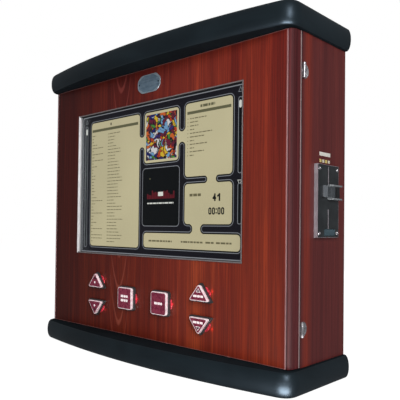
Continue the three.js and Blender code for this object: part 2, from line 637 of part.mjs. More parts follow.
// A foot on the door's edge strip, an arm into the cabinet, and a lip for the lock's cam to hold.
function doorCatch() {
  const back = POST_BACK_Y + 2 * GAP + STRIP_THICKNESS;
  const top = LOCK.z - LOCK.barrel - 4;
  const lipY = LOCK.y + CAM.halfWidth + 1;
  const sheet = 1.2;
  const hook = join(
    block([-371, -325], [back, back + sheet], [top - 35, top]),
    block([-325 - sheet, -325], [back, lipY + sheet], [top - 26, top]),
    block([-348, -325], [lipY, lipY + sheet], [top - 21, top]));
  return piece('door_catch', hook, zinc);
}

// ---------------------------------------------------------------- hinges
function hinge(level, z) {
  const half = HINGE_HEIGHT / 2;
  const middle = HINGE_HEIGHT / 6;   // half height of the middle knuckle, which is the door's
  const play = 0.2;
  const bore = rodZ(PIN_RADIUS + play, -half - OVER, half + OVER, 20);
  const knuckle = (z0, z1) => rodZ(KNUCKLE_RADIUS, z0, z1, 20);
  const sideX = SIDE_X + GAP - HINGE_X;

  const leafShape = new THREE.Shape();
  leafShape.moveTo(4, -half);
  leafShape.absarc(5, 0, half, -Math.PI / 2, Math.PI / 2, false);
  leafShape.lineTo(4, half);
  leafShape.closePath();
  const tab = (z0, z1) => block([sideX, sideX + LEAF], [0, 6], [z0, z1]);
  const cabinetLeaf = cut(joined(
    prismX(leafShape, sideX, sideX + LEAF, 8),
    tab(middle + play, half), tab(-half, -middle - play),
    knuckle(middle + play, half), knuckle(-half, -middle - play)), bore);

  const doorLeaf = cut(joined(
    block([-26, -6], [-LEAF / 2, LEAF / 2], [-half, half]),
    block([-7, -1], [-LEAF / 2, LEAF / 2], [-middle + play, middle - play]),
    knuckle(-middle + play, middle - play)), bore);

  const group = new THREE.Group();
  group.position.set(HINGE_X, HINGE_Y, z);
  group.add(
    piece(`${level}_hinge_cabinet_leaf`, geometryOf(cabinetLeaf), polished),
    piece(`${level}_hinge_door_leaf`, geometryOf(doorLeaf), polished),
    piece(`${level}_hinge_pin`, rodZ(PIN_RADIUS, -half - 0.5, half + 0.5, 20), polished));
  return group;
}

// ---------------------------------------------------------------- the whole jukebox
const cabinet = new THREE.Group();
cabinet.add(...endCaps(), ...sidePanels(), ...boards(), backPanel(), hangingPlate(), lock());
cabinet.add(...electronics(), fan(), mainsInlet());

const coinUnit = new THREE.Group();
coinUnit.add(coinFaceplate(), coinEntryGuide(), rejectButton(), returnFlap(), returnCup());
coinUnit.add(coinValidator(), coinChute(), cashBox());

const door = new THREE.Group();
door.add(doorPanel(), ...doorFrame(), display(), ...BUTTONS.map(lampButton), namePlate(), doorCatch());

const jukebox = new THREE.Group();
jukebox.add(cabinet, coinUnit, door);
Object.entries(HINGE_CENTRES).forEach(([level, z]) => jukebox.add(hinge(level, z)));

export default jukebox;
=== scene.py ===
"""A wall-mounted jukebox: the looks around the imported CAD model.

Metres, in the part's frame: +Z up, front facing -Y, coin acceptor on +X.
"""
import math
import random

import bmesh
import bpy
from mathutils import Matrix, Vector
from mathutils.geometry import delaunay_2d_cdt


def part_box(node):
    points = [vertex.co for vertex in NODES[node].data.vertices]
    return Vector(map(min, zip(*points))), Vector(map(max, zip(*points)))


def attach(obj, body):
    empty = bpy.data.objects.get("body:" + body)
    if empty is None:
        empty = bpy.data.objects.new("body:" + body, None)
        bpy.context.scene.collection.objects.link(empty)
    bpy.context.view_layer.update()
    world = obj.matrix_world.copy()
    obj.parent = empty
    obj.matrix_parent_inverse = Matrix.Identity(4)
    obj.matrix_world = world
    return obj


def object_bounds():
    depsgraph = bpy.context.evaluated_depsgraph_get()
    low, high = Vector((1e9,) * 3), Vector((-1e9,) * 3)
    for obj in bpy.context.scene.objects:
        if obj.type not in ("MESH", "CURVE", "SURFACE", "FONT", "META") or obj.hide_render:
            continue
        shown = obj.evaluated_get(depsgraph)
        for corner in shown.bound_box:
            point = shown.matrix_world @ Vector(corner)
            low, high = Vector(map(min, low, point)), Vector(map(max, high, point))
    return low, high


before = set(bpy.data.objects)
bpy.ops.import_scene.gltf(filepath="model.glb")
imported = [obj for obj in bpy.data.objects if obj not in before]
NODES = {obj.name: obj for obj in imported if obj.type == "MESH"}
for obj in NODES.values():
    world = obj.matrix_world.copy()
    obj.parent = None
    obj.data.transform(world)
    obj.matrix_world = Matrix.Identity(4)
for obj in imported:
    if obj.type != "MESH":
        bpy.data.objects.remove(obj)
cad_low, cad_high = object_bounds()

MM = 0.001

# ---------------------------------------------------------------- camera
CAMERA_PLACE = Vector((0.8972, -0.8622, 0.2909))
CAMERA_YAW = math.radians(42.97)      # from +Y towards -X
CAMERA_PITCH = math.radians(1.10)
CAMERA_ROLL = math.radians(0.659)
CAMERA_LENS = 48.81                   # mm, on a 36 mm sensor
CAMERA_RISE = 0.0437                  # vertical shift


def make_camera():
    """The camera that was fitted to the photo."""
    data = bpy.data.cameras.new("camera")
    data.sensor_width = 36.0
    data.lens = CAMERA_LENS
    data.shift_y = CAMERA_RISE
    level = Vector((-math.sin(CAMERA_YAW), math.cos(CAMERA_YAW), 0))
    right = Vector((math.cos(CAMERA_YAW), math.sin(CAMERA_YAW), 0))
    forward = level * math.cos(CAMERA_PITCH) + Vector((0, 0, math.sin(CAMERA_PITCH)))
    up = right.cross(forward)
    tilted_right = right * math.cos(CAMERA_ROLL) + up * math.sin(CAMERA_ROLL)
    tilted_up = up * math.cos(CAMERA_ROLL) - right * math.sin(CAMERA_ROLL)
    turn = Matrix((tilted_right, tilted_up, -forward)).transposed()
    camera = bpy.data.objects.new("camera", data)
    camera.matrix_world = Matrix.Translation(CAMERA_PLACE) @ turn.to_4x4()
    bpy.context.scene.collection.objects.link(camera)
    bpy.context.scene.camera = camera


# ---------------------------------------------------------------- node helpers
def rgb(code):
    """A colour written #rrggbb as linear red, green, blue and alpha."""
    values = [int(code[i:i + 2], 16) / 255 for i in (1, 3, 5)]
    linear = [v / 12.92 if v < 0.04045 else ((v + 0.055) / 1.055) ** 2.4 for v in values]
    return (*linear, 1.0)


class Nodes:
    """Short calls for building one material's node tree."""

    def __init__(self, name):
        self.material = bpy.data.materials.new(name)
        self.material.use_nodes = True
        self.tree = self.material.node_tree
        self.tree.nodes.clear()
        self.place = self.node("ShaderNodeTexCoord").outputs["Object"]
        self.x, self.y, self.z = self.node("ShaderNodeSeparateXYZ", {"Vector": self.place}).outputs

    def node(self, kind, values=None, **settings):
        made = self.tree.nodes.new(kind)
        for key, value in settings.items():
            setattr(made, key, value)
        for key, value in (values or {}).items():
            self.put(made.inputs[key], value)
        return made

    def put(self, socket, value):
        """Link a socket to the socket, or set its value; a colour may be written #rrggbb."""
        if isinstance(value, bpy.types.NodeSocket):
            self.tree.links.new(value, socket)
        else:
            socket.default_value = rgb(value) if isinstance(value, str) else value

    def math(self, operation, a, b=0.0):
        return self.node("ShaderNodeMath", {0: a, 1: b}, operation=operation).outputs[0]

    def times(self, a, b):
        return self.math("MULTIPLY", a, b)

    def plus(self, a, b):
        return self.math("ADD", a, b)

    def minus(self, a, b):
        return self.math("SUBTRACT", a, b)

    def stretched(self, x, y, z):
        made = self.node("ShaderNodeVectorMath", {0: self.place, 1: (x, y, z)}, operation="MULTIPLY")
        return made.outputs[0]

    def noise(self, vector, detail=4.0, roughness=0.55, distortion=0.0):
        values = {"Vector": vector, "Scale": 1.0, "Detail": detail,
                  "Roughness": roughness, "Distortion": distortion}
        return self.node("ShaderNodeTexNoise", values).outputs["Fac"]

    def cloud(self, scale, **more):
        """Noise of the same scale, in waves per metre, along all three axes."""
        return self.noise(self.stretched(scale, scale, scale), **more)

    def ramp(self, factor, *stops, interpolation="LINEAR"):
        """stops are pairs of a place from 0 to 1 and a colour or grey value."""
        made = self.node("ShaderNodeValToRGB", {"Fac": factor})
        band = made.color_ramp
        band.interpolation = interpolation
        while len(band.elements) < len(stops):
            band.elements.new(1.0)
        for element, (at, colour) in zip(band.elements, stops):
            element.position = at
            element.color = rgb(colour) if isinstance(colour, str) else (colour, colour, colour, 1.0)
        return made.outputs["Color"]

    def mix(self, factor, a, b, blend="MIX"):
        made = self.node("ShaderNodeMix", data_type="RGBA", blend_type=blend)
        self.put(made.inputs["Factor"], factor)
        self.put(made.inputs[6], a)
        self.put(made.inputs[7], b)
        return made.outputs[2]

    def span(self, value, low, high, to_low=0.0, to_high=1.0):
        """value from low to high, moved smoothly to the range to_low to to_high."""
        made = self.node("ShaderNodeMapRange", {
            "Value": value, "From Min": low, "From Max": high, "To Min": to_low, "To Max": to_high},
            interpolation_type="SMOOTHSTEP")
        return made.outputs["Result"]

    def between(self, noise, low, high):
        """low where a noise is low, high where it is high."""
        return self.span(noise, 0.3, 0.7, low, high)

    def blend(self, noise, dark, light):
        return self.mix(self.between(noise, 0.0, 1.0), dark, light)

    def off_middle(self, axis, box):
        """Distance along x, y or z from the middle of a box (low corner, high corner)."""
        middle = (getattr(box[0], axis) + getattr(box[1], axis)) / 2
        return self.math("ABSOLUTE", self.minus(getattr(self, axis), middle))

    def largest(self, *values):
        found = values[0]
        for value in values[1:]:
            found = self.math("MAXIMUM", found, value)
        return found

    def bump(self, height, strength, distance):
        values = {"Height": height, "Strength": strength, "Distance": distance}
        return self.node("ShaderNodeBump", values).outputs["Normal"]

    def finish(self, **values):
        """A principled surface; value names are its sockets' names with _ for a space."""
        named = {key.replace("_", " "): value for key, value in values.items()}
        surface = self.node("ShaderNodeBsdfPrincipled", named)
        output = self.node("ShaderNodeOutputMaterial")
        self.put(output.inputs["Surface"], surface.outputs["BSDF"])
        return self.material


# ---------------------------------------------------------------- wood
CATHEDRAL_X = -0.098       # middle of the arched figure in the front veneer
CATHEDRAL_REACH = 0.045
ARCH_CURVE = 100.0         # how steeply an arch opens upwards, 1/m
ARCH_COUNT = 13.0          # arches per metre of height
FRONT_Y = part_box("door_panel")[0].y
PANEL_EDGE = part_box("door_panel")[1]
PANEL_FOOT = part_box("door_panel")[0]
SIDE_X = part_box("right_side_panel")[1].x
SIDE_THICKNESS = SIDE_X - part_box("right_side_panel")[0].x
PAINTED_REFLECTION_SPAN = (-0.036, -0.022, -0.018, 0.004)     # y of the painted reflection's start, full tone, fading and end


def grain(n, across, drift=0.0):
    """Upright grain as values from 0 to 1: broad bands, streaks, fine lines and pores. across is
    the axis that the grain's lines lie side by side on, 'x' or 'y'."""
    def along(wide, tall):
        place = (wide, 0.0, tall) if across == "x" else (0.0, wide, tall)
        return n.stretched(*place)

    broad = n.noise(along(11, 0.7), detail=2, distortion=0.4 + drift)
    streaks = n.noise(along(58, 0.9), detail=5, roughness=0.62, distortion=0.25)
    fine = n.noise(along(330, 5.0), detail=3, roughness=0.6)
    pores = n.noise(along(900, 34), detail=2, roughness=0.7)
    return broad, streaks, fine, pores


def lacquered(n, colour, fine, pores, rough, coat, relief):
    """The finish of both veneers: rougher and lower in the pores. rough is (least, most)."""
    mean = n.plus(n.times(pores, 0.5), n.times(fine, 0.5))
    height = n.minus(n.times(fine, 0.4), n.span(pores, 0.58, 0.74))
    return n.finish(Base_Color=colour, Roughness=n.ramp(mean, (0.3, rough[0]), (0.7, rough[1])),
                    Coat_Weight=coat, Coat_Roughness=0.2, Specular_IOR_Level=0.3,
                    Normal=n.bump(height, relief, 0.15 * MM))


def front_veneer():
    """Mahogany with an arched figure, painted shade darker towards the left and the top, and a pale rim
    round the panel: wear and a painted highlight.
    """
    n = Nodes("front_veneer")
    broad, streaks, fine, pores = grain(n, "x")
    x, y, z = n.x, n.y, n.z
    base = n.ramp(streaks, (0.26, "#4e1812"), (0.43, "#792818"), (0.53, "#8a301c"),
                  (0.64, "#ae4724"), (0.76, "#742616"))
    tint = n.ramp(broad, (0.3, "#70261c"), (0.5, "#98361f"), (0.7, "#bc5229"))
    colour = n.mix(0.42, base, tint)
    colour = n.mix(n.span(fine, 0.40, 0.60, 0.0, 0.5), colour, "#561d16")
    across = n.minus(x, CATHEDRAL_X)
    parabola = n.times(n.times(across, across), ARCH_CURVE)
    wander = n.times(n.noise(n.stretched(14, 0, 3), detail=2), 0.05)
    height = n.plus(n.minus(z, parabola), wander)
    wave = n.math("SINE", n.times(height, 2 * math.pi * ARCH_COUNT))
    line = n.span(wave, 0.74, 1.0)
    reach = n.span(n.math("ABSOLUTE", across), 0.35 * CATHEDRAL_REACH, CATHEDRAL_REACH, 0.85, 0.0)
    colour = n.mix(n.times(line, reach), colour, "#b8604a")
    # painted shade: the panel darker towards the left, and a little at the right, as the light falls
    share = n.plus(n.math("DIVIDE", x, 2 * PANEL_EDGE.x), 0.5)
    shade = n.ramp(share, (0.0, "#7e7076"), (0.33, "#c2b4b0"), (0.52, "#dcd2cc"),
                   (0.66, 1.0), (0.84, "#eadfdd"), (1.0, "#eee4e0"))
    colour = n.mix(1.0, colour, shade, "MULTIPLY")
    # painted shade: darker and more purple towards the top
    up = n.span(z, PANEL_FOOT.z, PANEL_EDGE.z)
    painted_top_shade = n.ramp(up, (0.0, "#fffaff"), (0.5, "#f4ebff"), (1.0, "#ecd2f4"))
    colour = n.mix(1.0, colour, painted_top_shade, "MULTIPLY")
    colour = n.mix(n.span(pores, 0.60, 0.72, 0.0, 0.5), colour, "#2c100e")
    # pale rim along the panel's edges: wear, and a painted highlight where the edges catch the light
    rim_x = n.span(n.math("ABSOLUTE", x), PANEL_EDGE.x - 1.8 * MM, PANEL_EDGE.x - 0.6 * MM)
    rim_top = n.span(z, PANEL_EDGE.z - 1.8 * MM, PANEL_EDGE.z - 0.6 * MM)
    rim_foot = n.span(z, PANEL_FOOT.z + 1.6 * MM, PANEL_FOOT.z + 0.4 * MM)
    rim = n.largest(rim_x, rim_top, rim_foot)
    wear_and_painted_highlight = n.times(rim, n.span(n.noise(n.stretched(20, 20, 9)), 0.25, 0.6, 0.45, 0.8))
    colour = n.mix(wear_and_painted_highlight, colour, "#b07a78")
    core = n.span(y, FRONT_Y + 0.8 * MM, FRONT_Y + 1.2 * MM)
    colour = n.mix(core, colour, "#2e1a14")
    return lacquered(n, colour, fine, pores, (0.30, 0.46), coat=0.05, relief=0.16)


def side_veneer():
    """Mahogany with an orange-red painted reflection near the front; the panels' inner faces are bare
    board.
    """
    n = Nodes("side_veneer")
    broad, streaks, fine, pores = grain(n, "y", 0.2)
    x, y = n.x, n.y
    base = n.ramp(streaks, (0.28, "#43191c"), (0.46, "#642a28"), (0.58, "#72332e"),
                  (0.75, "#8a4238"))
    tint = n.ramp(broad, (0.3, "#5c2a30"), (0.55, "#74393a"), (0.75, "#8a4a42"))
    colour = n.mix(0.5, base, tint)
    # painted reflection: an orange-red band near the front edge
    first, full, fading, last = PAINTED_REFLECTION_SPAN
    painted_reflection = n.times(n.span(y, first, full), n.span(y, last, fading))
    colour = n.mix(n.times(painted_reflection, 0.75), colour, "#9a3e28")
    colour = n.mix(n.span(fine, 0.42, 0.62, 0.0, 0.4), colour, "#4a1c1e")
    colour = n.mix(n.span(pores, 0.60, 0.72, 0.0, 0.5), colour, "#2a1012")
    colour = n.mix(1.0, colour, "#d8bcb8", "MULTIPLY")
    inner = SIDE_X - SIDE_THICKNESS
    outside = n.span(n.math("ABSOLUTE", x), inner + 0.4 * MM, inner + 0.8 * MM)
    colour = n.mix(outside, "#5e4632", colour)
    return lacquered(n, colour, fine, pores, (0.34, 0.5), coat=0.04, relief=0.18)


def post_veneer():
    """The corner posts: darker plum, with grain that runs up and a pale arris beside the panel: wear and a
    painted highlight.
    """
    n = Nodes("post_veneer")
    x = n.math("ABSOLUTE", n.x)
    streaks = n.noise(n.stretched(170, 170, 1.2), detail=5, roughness=0.6)
    pores = n.noise(n.stretched(900, 900, 34), detail=2, roughness=0.7)
    colour = n.ramp(streaks, (0.3, "#321012"), (0.5, "#4a1b1e"), (0.7, "#642a2b"))
    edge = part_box("door_right_post")[0].x
    # pale arris: wear, and a painted highlight where it catches the light
    arris = n.span(x, edge + 1.9 * MM, edge + 0.9 * MM)
    front = n.span(n.y, FRONT_Y + 2.2 * MM, FRONT_Y + 1.0 * MM)
    wear_and_painted_highlight = n.times(arris, front)
    colour = n.mix(n.times(wear_and_painted_highlight, 0.8), colour, "#c29a9c")
    colour = n.mix(n.span(pores, 0.60, 0.72, 0.0, 0.5), colour, "#240d10")
    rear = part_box("door_right_post")[1].y
    band = n.span(n.y, rear - 3.4 * MM, rear - 2.8 * MM)
    colour = n.mix(n.times(band, 0.85), colour, "#a8918f")
    rough = n.ramp(pores, (0.3, 0.55), (0.7, 0.68))
    return n.finish(Base_Color=colour, Roughness=rough, Specular_IOR_Level=0.12,
                    Normal=n.bump(pores, 0.12, 0.15 * MM))


def bare_board():
    n = Nodes("bare_board")
    fibre = n.cloud(260, detail=5, roughness=0.7)
    blotch = n.cloud(9, detail=3)
    colour = n.ramp(fibre, (0.3, "#6e5138"), (0.5, "#87674a"), (0.7, "#9c7c5c"))
    colour = n.mix(n.span(blotch, 0.35, 0.65, 0.0, 0.3), colour, "#6a4d36")
    return n.finish(Base_Color=colour, Roughness=n.ramp(fibre, (0.3, 0.72), (0.7, 0.9)),
                    Normal=n.bump(fibre, 0.3, 0.2 * MM))


# ---------------------------------------------------------------- plastics, metals, board, paper
def moulded(name, dark, light, roughness, texture=1400.0, depth=0.12):
    """A moulded plastic or enamel skin: fine texture, and broad handling marks in its gloss."""
    n = Nodes(name)
    skin = n.cloud(texture, detail=3, roughness=0.6)
    marks = n.noise(n.stretched(7, 7, 16), detail=4, distortion=0.6)
    colour = n.blend(marks, dark, light)
    colour = n.mix(n.span(skin, 0.55, 0.8, 0.0, 0.25), colour, light)
    gloss = n.plus(n.between(marks, -0.04, 0.04), n.between(skin, -0.03, 0.03))
    return n.finish(Base_Color=colour, Roughness=n.plus(gloss, roughness),
                    Normal=n.bump(skin, 0.3, depth * MM))


def cap_skin(name, node, roughness):
    """The end caps' moulding: blue-black, satin round the swollen edge and dull on the flat face."""
    n = Nodes(name)
    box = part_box(node)
    skin = n.cloud(1400, detail=3, roughness=0.6)
    marks = n.noise(n.stretched(7, 7, 16), detail=4, distortion=0.6)
    colour = n.blend(marks, "#12181b", "#192125")
    half = (box[1].z - box[0].z) / 2
    flat = n.span(n.off_middle("z", box), half - 1.2 * MM, half - 0.4 * MM)
    gloss = n.plus(n.between(skin, -0.03, 0.03), roughness)
    return n.finish(Base_Color=colour, Roughness=n.plus(gloss, n.times(flat, 0.4)),
                    Specular_IOR_Level=n.minus(0.5, n.times(flat, 0.42)),
                    Specular_Tint="#b4cbe0", Normal=n.bump(skin, 0.3, 0.12 * MM))


def sheet_metal(name, dark, light, roughness, brushed=False):
    """Metal with a spangle, or with upright brush lines."""
    n = Nodes(name)
    scale = (1500, 1500, 18) if brushed else (55, 55, 55)
    tone = n.noise(n.stretched(*scale), detail=3, roughness=0.6)
    smudge = n.cloud(13, detail=4)
    colour = n.blend(tone, dark, light)
    rough = n.plus(n.between(smudge, -0.06, 0.08), roughness)
    return n.finish(Base_Color=colour, Roughness=rough, Metallic=1.0,
                    Normal=n.bump(tone, 0.12, 0.05 * MM))


def chrome():
    """The lock's plating: grey chrome with a faint haze."""
    n = Nodes("bright_chrome")
    haze = n.cloud(30, detail=4)
    colour = n.blend(haze, "#8f8d94", "#c4c2c8")
    return n.finish(Base_Color=colour, Metallic=1.0, Roughness=n.span(haze, 0.3, 0.75, 0.10, 0.22),
                    Normal=n.bump(n.cloud(400), 0.04, 0.05 * MM))


def name_plate_metal():
    """A blank stamped plate: brushed blue-grey field inside a lighter raised rim."""
    n = Nodes("name_plate_metal")
    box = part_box("name_plate")
    half = (box[1] - box[0]) / 2
    lines = n.noise(n.stretched(14, 900, 1300), detail=3)
    patina = n.noise(n.stretched(120, 120, 160), detail=5, roughness=0.65)
    colour = n.blend(lines, "#5a7082", "#7c92a4")
    colour = n.mix(n.span(patina, 0.4, 0.7, 0.0, 0.5), colour, "#8a9aa6")
    wide = n.math("DIVIDE", n.off_middle("x", box), half.x)
    tall = n.math("DIVIDE", n.off_middle("z", box), half.z)
    corner = n.math("DIVIDE", n.plus(wide, tall), 1.44)
    rim = n.span(n.largest(wide, tall, corner), 0.90, 0.94)
    colour = n.mix(n.times(rim, 0.7), colour, "#a7b4bc")
    return n.finish(Base_Color=colour, Metallic=0.55, Roughness=n.between(patina, 0.36, 0.55),
                    Normal=n.bump(n.plus(rim, n.times(lines, 0.1)), 0.5, 0.4 * MM))


def satin_trim():
    """The screen's trim: a satin silver bar down the left with a painted glow and painted shade deeper in;
    thin dull lips round the other sides, and painted shadow black on the walls behind them.
    """
    n = Nodes("satin_trim")
    lines = n.noise(n.stretched(900, 900, 60), detail=3)
    dull = n.cloud(24, detail=4)
    tone = n.blend(lines, "#c2bfc1", "#e2dfe0")
    tone = n.mix(n.span(dull, 0.5, 0.75, 0.0, 0.4), tone, "#8c888c")
    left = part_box("screen_trim")[0].x
    bar = n.span(n.x, left + 4.0 * MM, left + 3.4 * MM)
    lip_end = (FRONT_Y - 1.6 * MM, FRONT_Y - 1.2 * MM)
    inside = n.span(n.y, *lip_end)
    # painted shadow: the walls behind the lips are near black, except the bar
    lips_and_painted_shadow = n.mix(inside, n.mix(0.74, tone, "#4a3634"), "#151316")
    # painted shade: the bar darker deeper in
    painted_depth_shade = n.span(n.y, FRONT_Y + 1.0 * MM, FRONT_Y + 7.0 * MM, 0.0, 0.75)
    # the bar's tone with its painted shade, also the colour of its painted glow
    bright = n.mix(painted_depth_shade, tone, "#2a2b2f")
    shine = n.math("MAXIMUM", n.times(bar, 0.5), n.span(n.y, *lip_end, 0.5, 0.05))
    # painted glow: the bar emits light, though it is no lamp
    return n.finish(Base_Color=n.mix(bar, lips_and_painted_shadow, bright), Metallic=0.2, Emission_Strength=0.3,
                    Emission_Color=n.mix(bar, "#000000", bright), Specular_IOR_Level=shine,
                    Roughness=n.between(dull, 0.3, 0.46), Normal=n.bump(lines, 0.08, 0.05 * MM))


def plated_steel():
    """Bright plating on the hinges: pale, a little milky."""
    n = Nodes("plated_steel")
    haze = n.cloud(60, detail=4)
    tone = n.blend(haze, "#878488", "#c0bdc0")
    return n.finish(Base_Color=tone, Metallic=0.65, Roughness=n.span(haze, 0.3, 0.75, 0.16, 0.34),
                    Normal=n.bump(haze, 0.05, 0.05 * MM))


def coin_plate_enamel():
    """Black enamel: its cut edges pale, and a painted pale highlight along the tops of its ridges."""
    n = Nodes("coin_plate_enamel")
    low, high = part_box("coin_faceplate")
    x, y = n.x, n.y
    skin = n.cloud(2600, detail=3)
    wear = n.cloud(40, detail=4)
    front = n.span(y, low.y + 0.7 * MM, low.y + 0.3 * MM)
    rear = n.span(y, high.y - 0.7 * MM, high.y - 0.3 * MM)
    half = (high.z - low.z) / 2
    ends = n.span(n.off_middle("z", (low, high)), half - 0.7 * MM, half - 0.3 * MM)
    upright = n.span(y, low.y + 38.4 * MM, low.y + 38.0 * MM)
    # painted highlight along the ridge tops
    painted_ridge_highlight = n.times(n.span(x, high.x - 0.5 * MM, high.x - 0.2 * MM), upright)
    # pale tone on the cut edges, and the painted ridge highlight
    bare = n.largest(front, rear, ends, painted_ridge_highlight)
    black = n.blend(wear, "#1c1f21", "#2a2e30")
    alloy = n.blend(wear, "#8f868c", "#aaa2a8")
    return n.finish(Base_Color=n.mix(bare, black, alloy), Roughness=n.between(skin, 0.34, 0.46),
                    Metallic=n.times(bare, 0.3), Normal=n.bump(skin, 0.2, 0.05 * MM))


def guide_plastic():
    """The coin guide: slate plastic, with painted shade black in the opening between the two flanges."""
    n = Nodes("guide_plastic")
    low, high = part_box("coin_entry_guide")
    skin = n.cloud(700, detail=3)
    tone = n.blend(skin, "#34383c", "#4e5357")
    inner = (high.z - low.z) / 2 - 3.4 * MM
    between = n.span(n.off_middle("z", (low, high)), inner, inner - 0.3 * MM)
    # painted shade: black deep in the opening between the flanges
    painted_mouth_shade = n.times(between, n.span(n.y, low.y + 12 * MM, low.y + 13 * MM, 0.0, 0.9))
    edge = n.minus(1.0, between)
    tone = n.mix(n.times(edge, 0.3), n.mix(painted_mouth_shade, tone, "#0a0b0c"), "#a9adb0")
    return n.finish(Base_Color=tone, Roughness=n.between(skin, 0.34, 0.46),
                    Normal=n.bump(skin, 0.15, 0.05 * MM))


def ribbed_plastic():
    """The reject button: slate plastic, its raised ribs paler than the dark ground between them."""
    n = Nodes("ribbed_plastic")
    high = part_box("coin_reject_button")[1]
    skin = n.cloud(700, detail=3)
    rib = n.span(n.x, high.x - 1.3 * MM, high.x - 0.5 * MM)
    ribs = n.blend(skin, "#5c6166", "#70757a")
    tone = n.mix(rib, "#24282c", ribs)
    return n.finish(Base_Color=tone, Roughness=n.between(skin, 0.34, 0.46),
                    Normal=n.bump(skin, 0.15, 0.05 * MM))


COOLER_PITCH = 2.5 * MM    # between the processor cooler's fins


def circuit_board():
    """Green board with tracks; the parts on it differ in colour by how far they stand off it."""
    n = Nodes("circuit_board")
    tracks = n.node("ShaderNodeTexBrick", {
        "Vector": n.node("ShaderNodeCombineXYZ", {"X": n.x, "Y": n.z}).outputs[0],
        "Color1": "#1d5238", "Color2": "#174430", "Mortar": "#3c7a56",
        "Scale": 60.0, "Mortar Size": 0.012, "Brick Width": 0.9, "Row Height": 0.22})
    speck = n.cloud(420, detail=2)
    colour = n.mix(n.span(speck, 0.66, 0.70), tracks.outputs["Color"], "#b8b39a")
    height = n.minus(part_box("mainboard")[1].y, n.y)
    fins = n.math("SINE", n.times(n.x, 2 * math.pi / COOLER_PITCH))
    alloy = n.mix(n.span(fins, -0.2, 0.2), "#4a4d50", "#a2a6a9")
    black, blue, grey = "#1d1f22", "#1b3f5e", "#8d9093"
    for low, high, tone in ((3.0, 4.0, black), (12.6, 13.4, blue), (24.8, 25.6, grey), (31.0, 32.0, alloy)):
        colour = n.mix(n.span(height, low * MM, high * MM), colour, tone)
    return n.finish(Base_Color=colour, Roughness=n.between(speck, 0.35, 0.55),
                    Normal=n.bump(tracks.outputs["Fac"], 0.2, 0.1 * MM))


def paper(name, tone):
    """Printed paper without print: matt, with a few grey stains."""
    n = Nodes(name)
    fibre = n.cloud(900, detail=4, roughness=0.7)
    stain = n.cloud(60, detail=3)
    colour = n.mix(n.span(stain, 0.4, 0.8, 0.0, 0.35), tone, "#a39a86")
    return n.finish(Base_Color=colour, Roughness=n.between(fibre, 0.5, 0.7),
                    Normal=n.bump(fibre, 0.15, 0.05 * MM))


COATED_GLASS = 1.2         # refractive index that gives the weak reflection of a coated pane


def glass():
    """A clear pane: mostly see-through, with a Fresnel reflection."""
    n = Nodes("screen_glass")
    smear = n.noise(n.stretched(9, 9, 5), detail=4, distortion=0.5)
    clear = n.node("ShaderNodeBsdfTransparent", {"Color": "#f4f8f8"})
    shine = n.node("ShaderNodeBsdfGlossy", {"Roughness": n.between(smear, 0.03, 0.12)})
    facing = n.node("ShaderNodeFresnel", {"IOR": COATED_GLASS}).outputs[0]
    inside = n.node("ShaderNodeNewGeometry").outputs["Backfacing"]
    amount = n.times(facing, n.minus(1.0, inside))
    mixed = n.node("ShaderNodeMixShader", {0: amount, 1: clear.outputs[0], 2: shine.outputs[0]})
    output = n.node("ShaderNodeOutputMaterial")
    n.put(output.inputs["Surface"], mixed.outputs[0])
    return n.material


# ---------------------------------------------------------------- display picture and lamps
PICTURE_LIGHT = 0.8        # emission of the lit picture
ART_LIGHT = 0.75           # emission of the album picture
SUBPIXEL = 2600.0          # cells per metre
DRIFT = 0.06               # how much the backlight varies
PATCHES = 118.0            # patches of the album picture per metre


def lit(name, tone):
    """A colour on the lit display: it glows evenly, with a slow drift of the backlight."""
    n = Nodes(name)
    drift = n.cloud(3.5, detail=2)
    cells = n.noise(n.stretched(SUBPIXEL, 0, SUBPIXEL), detail=1)
    colour = n.mix(n.between(drift, 0.0, 2 * DRIFT), tone, "#000000")
    colour = n.mix(n.between(cells, 0.0, DRIFT), colour, "#000000")
    return n.finish(Base_Color=n.mix(0.82, colour, "#000000"), Roughness=0.3,
                    Emission_Color=colour, Emission_Strength=PICTURE_LIGHT)


def album_art():
    """An abstract mosaic of bright patches with dark lines through it, as a generic picture."""
    n = Nodes("album_art")
    flat = n.stretched(1, 0, 1)
    swirl = n.node("ShaderNodeTexNoise", {"Vector": flat, "Scale": 34.0, "Detail": 3.0}).outputs["Color"]
    bend = n.node("ShaderNodeVectorMath", {0: swirl, 1: (0.05, 0, 0.05)}, operation="MULTIPLY")
    bent = n.node("ShaderNodeVectorMath", {0: flat, 1: bend.outputs[0]}, operation="ADD")
    layout = {"Vector": bent.outputs[0], "Scale": PATCHES, "Randomness": 1.0}
    cells = n.node("ShaderNodeTexVoronoi", layout, distance="MANHATTAN")
    pick = n.node("ShaderNodeSeparateColor", {"Color": cells.outputs["Color"]}).outputs[0]
    colour = n.ramp(pick, (0.0, "#c2401e"), (0.13, "#1c2266"), (0.26, "#e6b82e"),
                    (0.36, "#e6dcdc"), (0.44, "#6e1e34"), (0.60, "#7aa4cc"),
                    (0.70, "#d8642a"), (0.80, "#4c8a3c"), (0.88, "#3a2c6e"),
                    (0.95, "#0e0c18"), interpolation="CONSTANT")
    borders = n.node("ShaderNodeTexVoronoi", layout, feature="DISTANCE_TO_EDGE")
    colour = n.mix(n.span(borders.outputs["Distance"], 0.10, 0.04), colour, "#1a1220")
    return n.finish(Base_Color=n.mix(0.82, colour, "#000000"), Roughness=0.3,
                    Emission_Color=colour, Emission_Strength=ART_LIGHT)


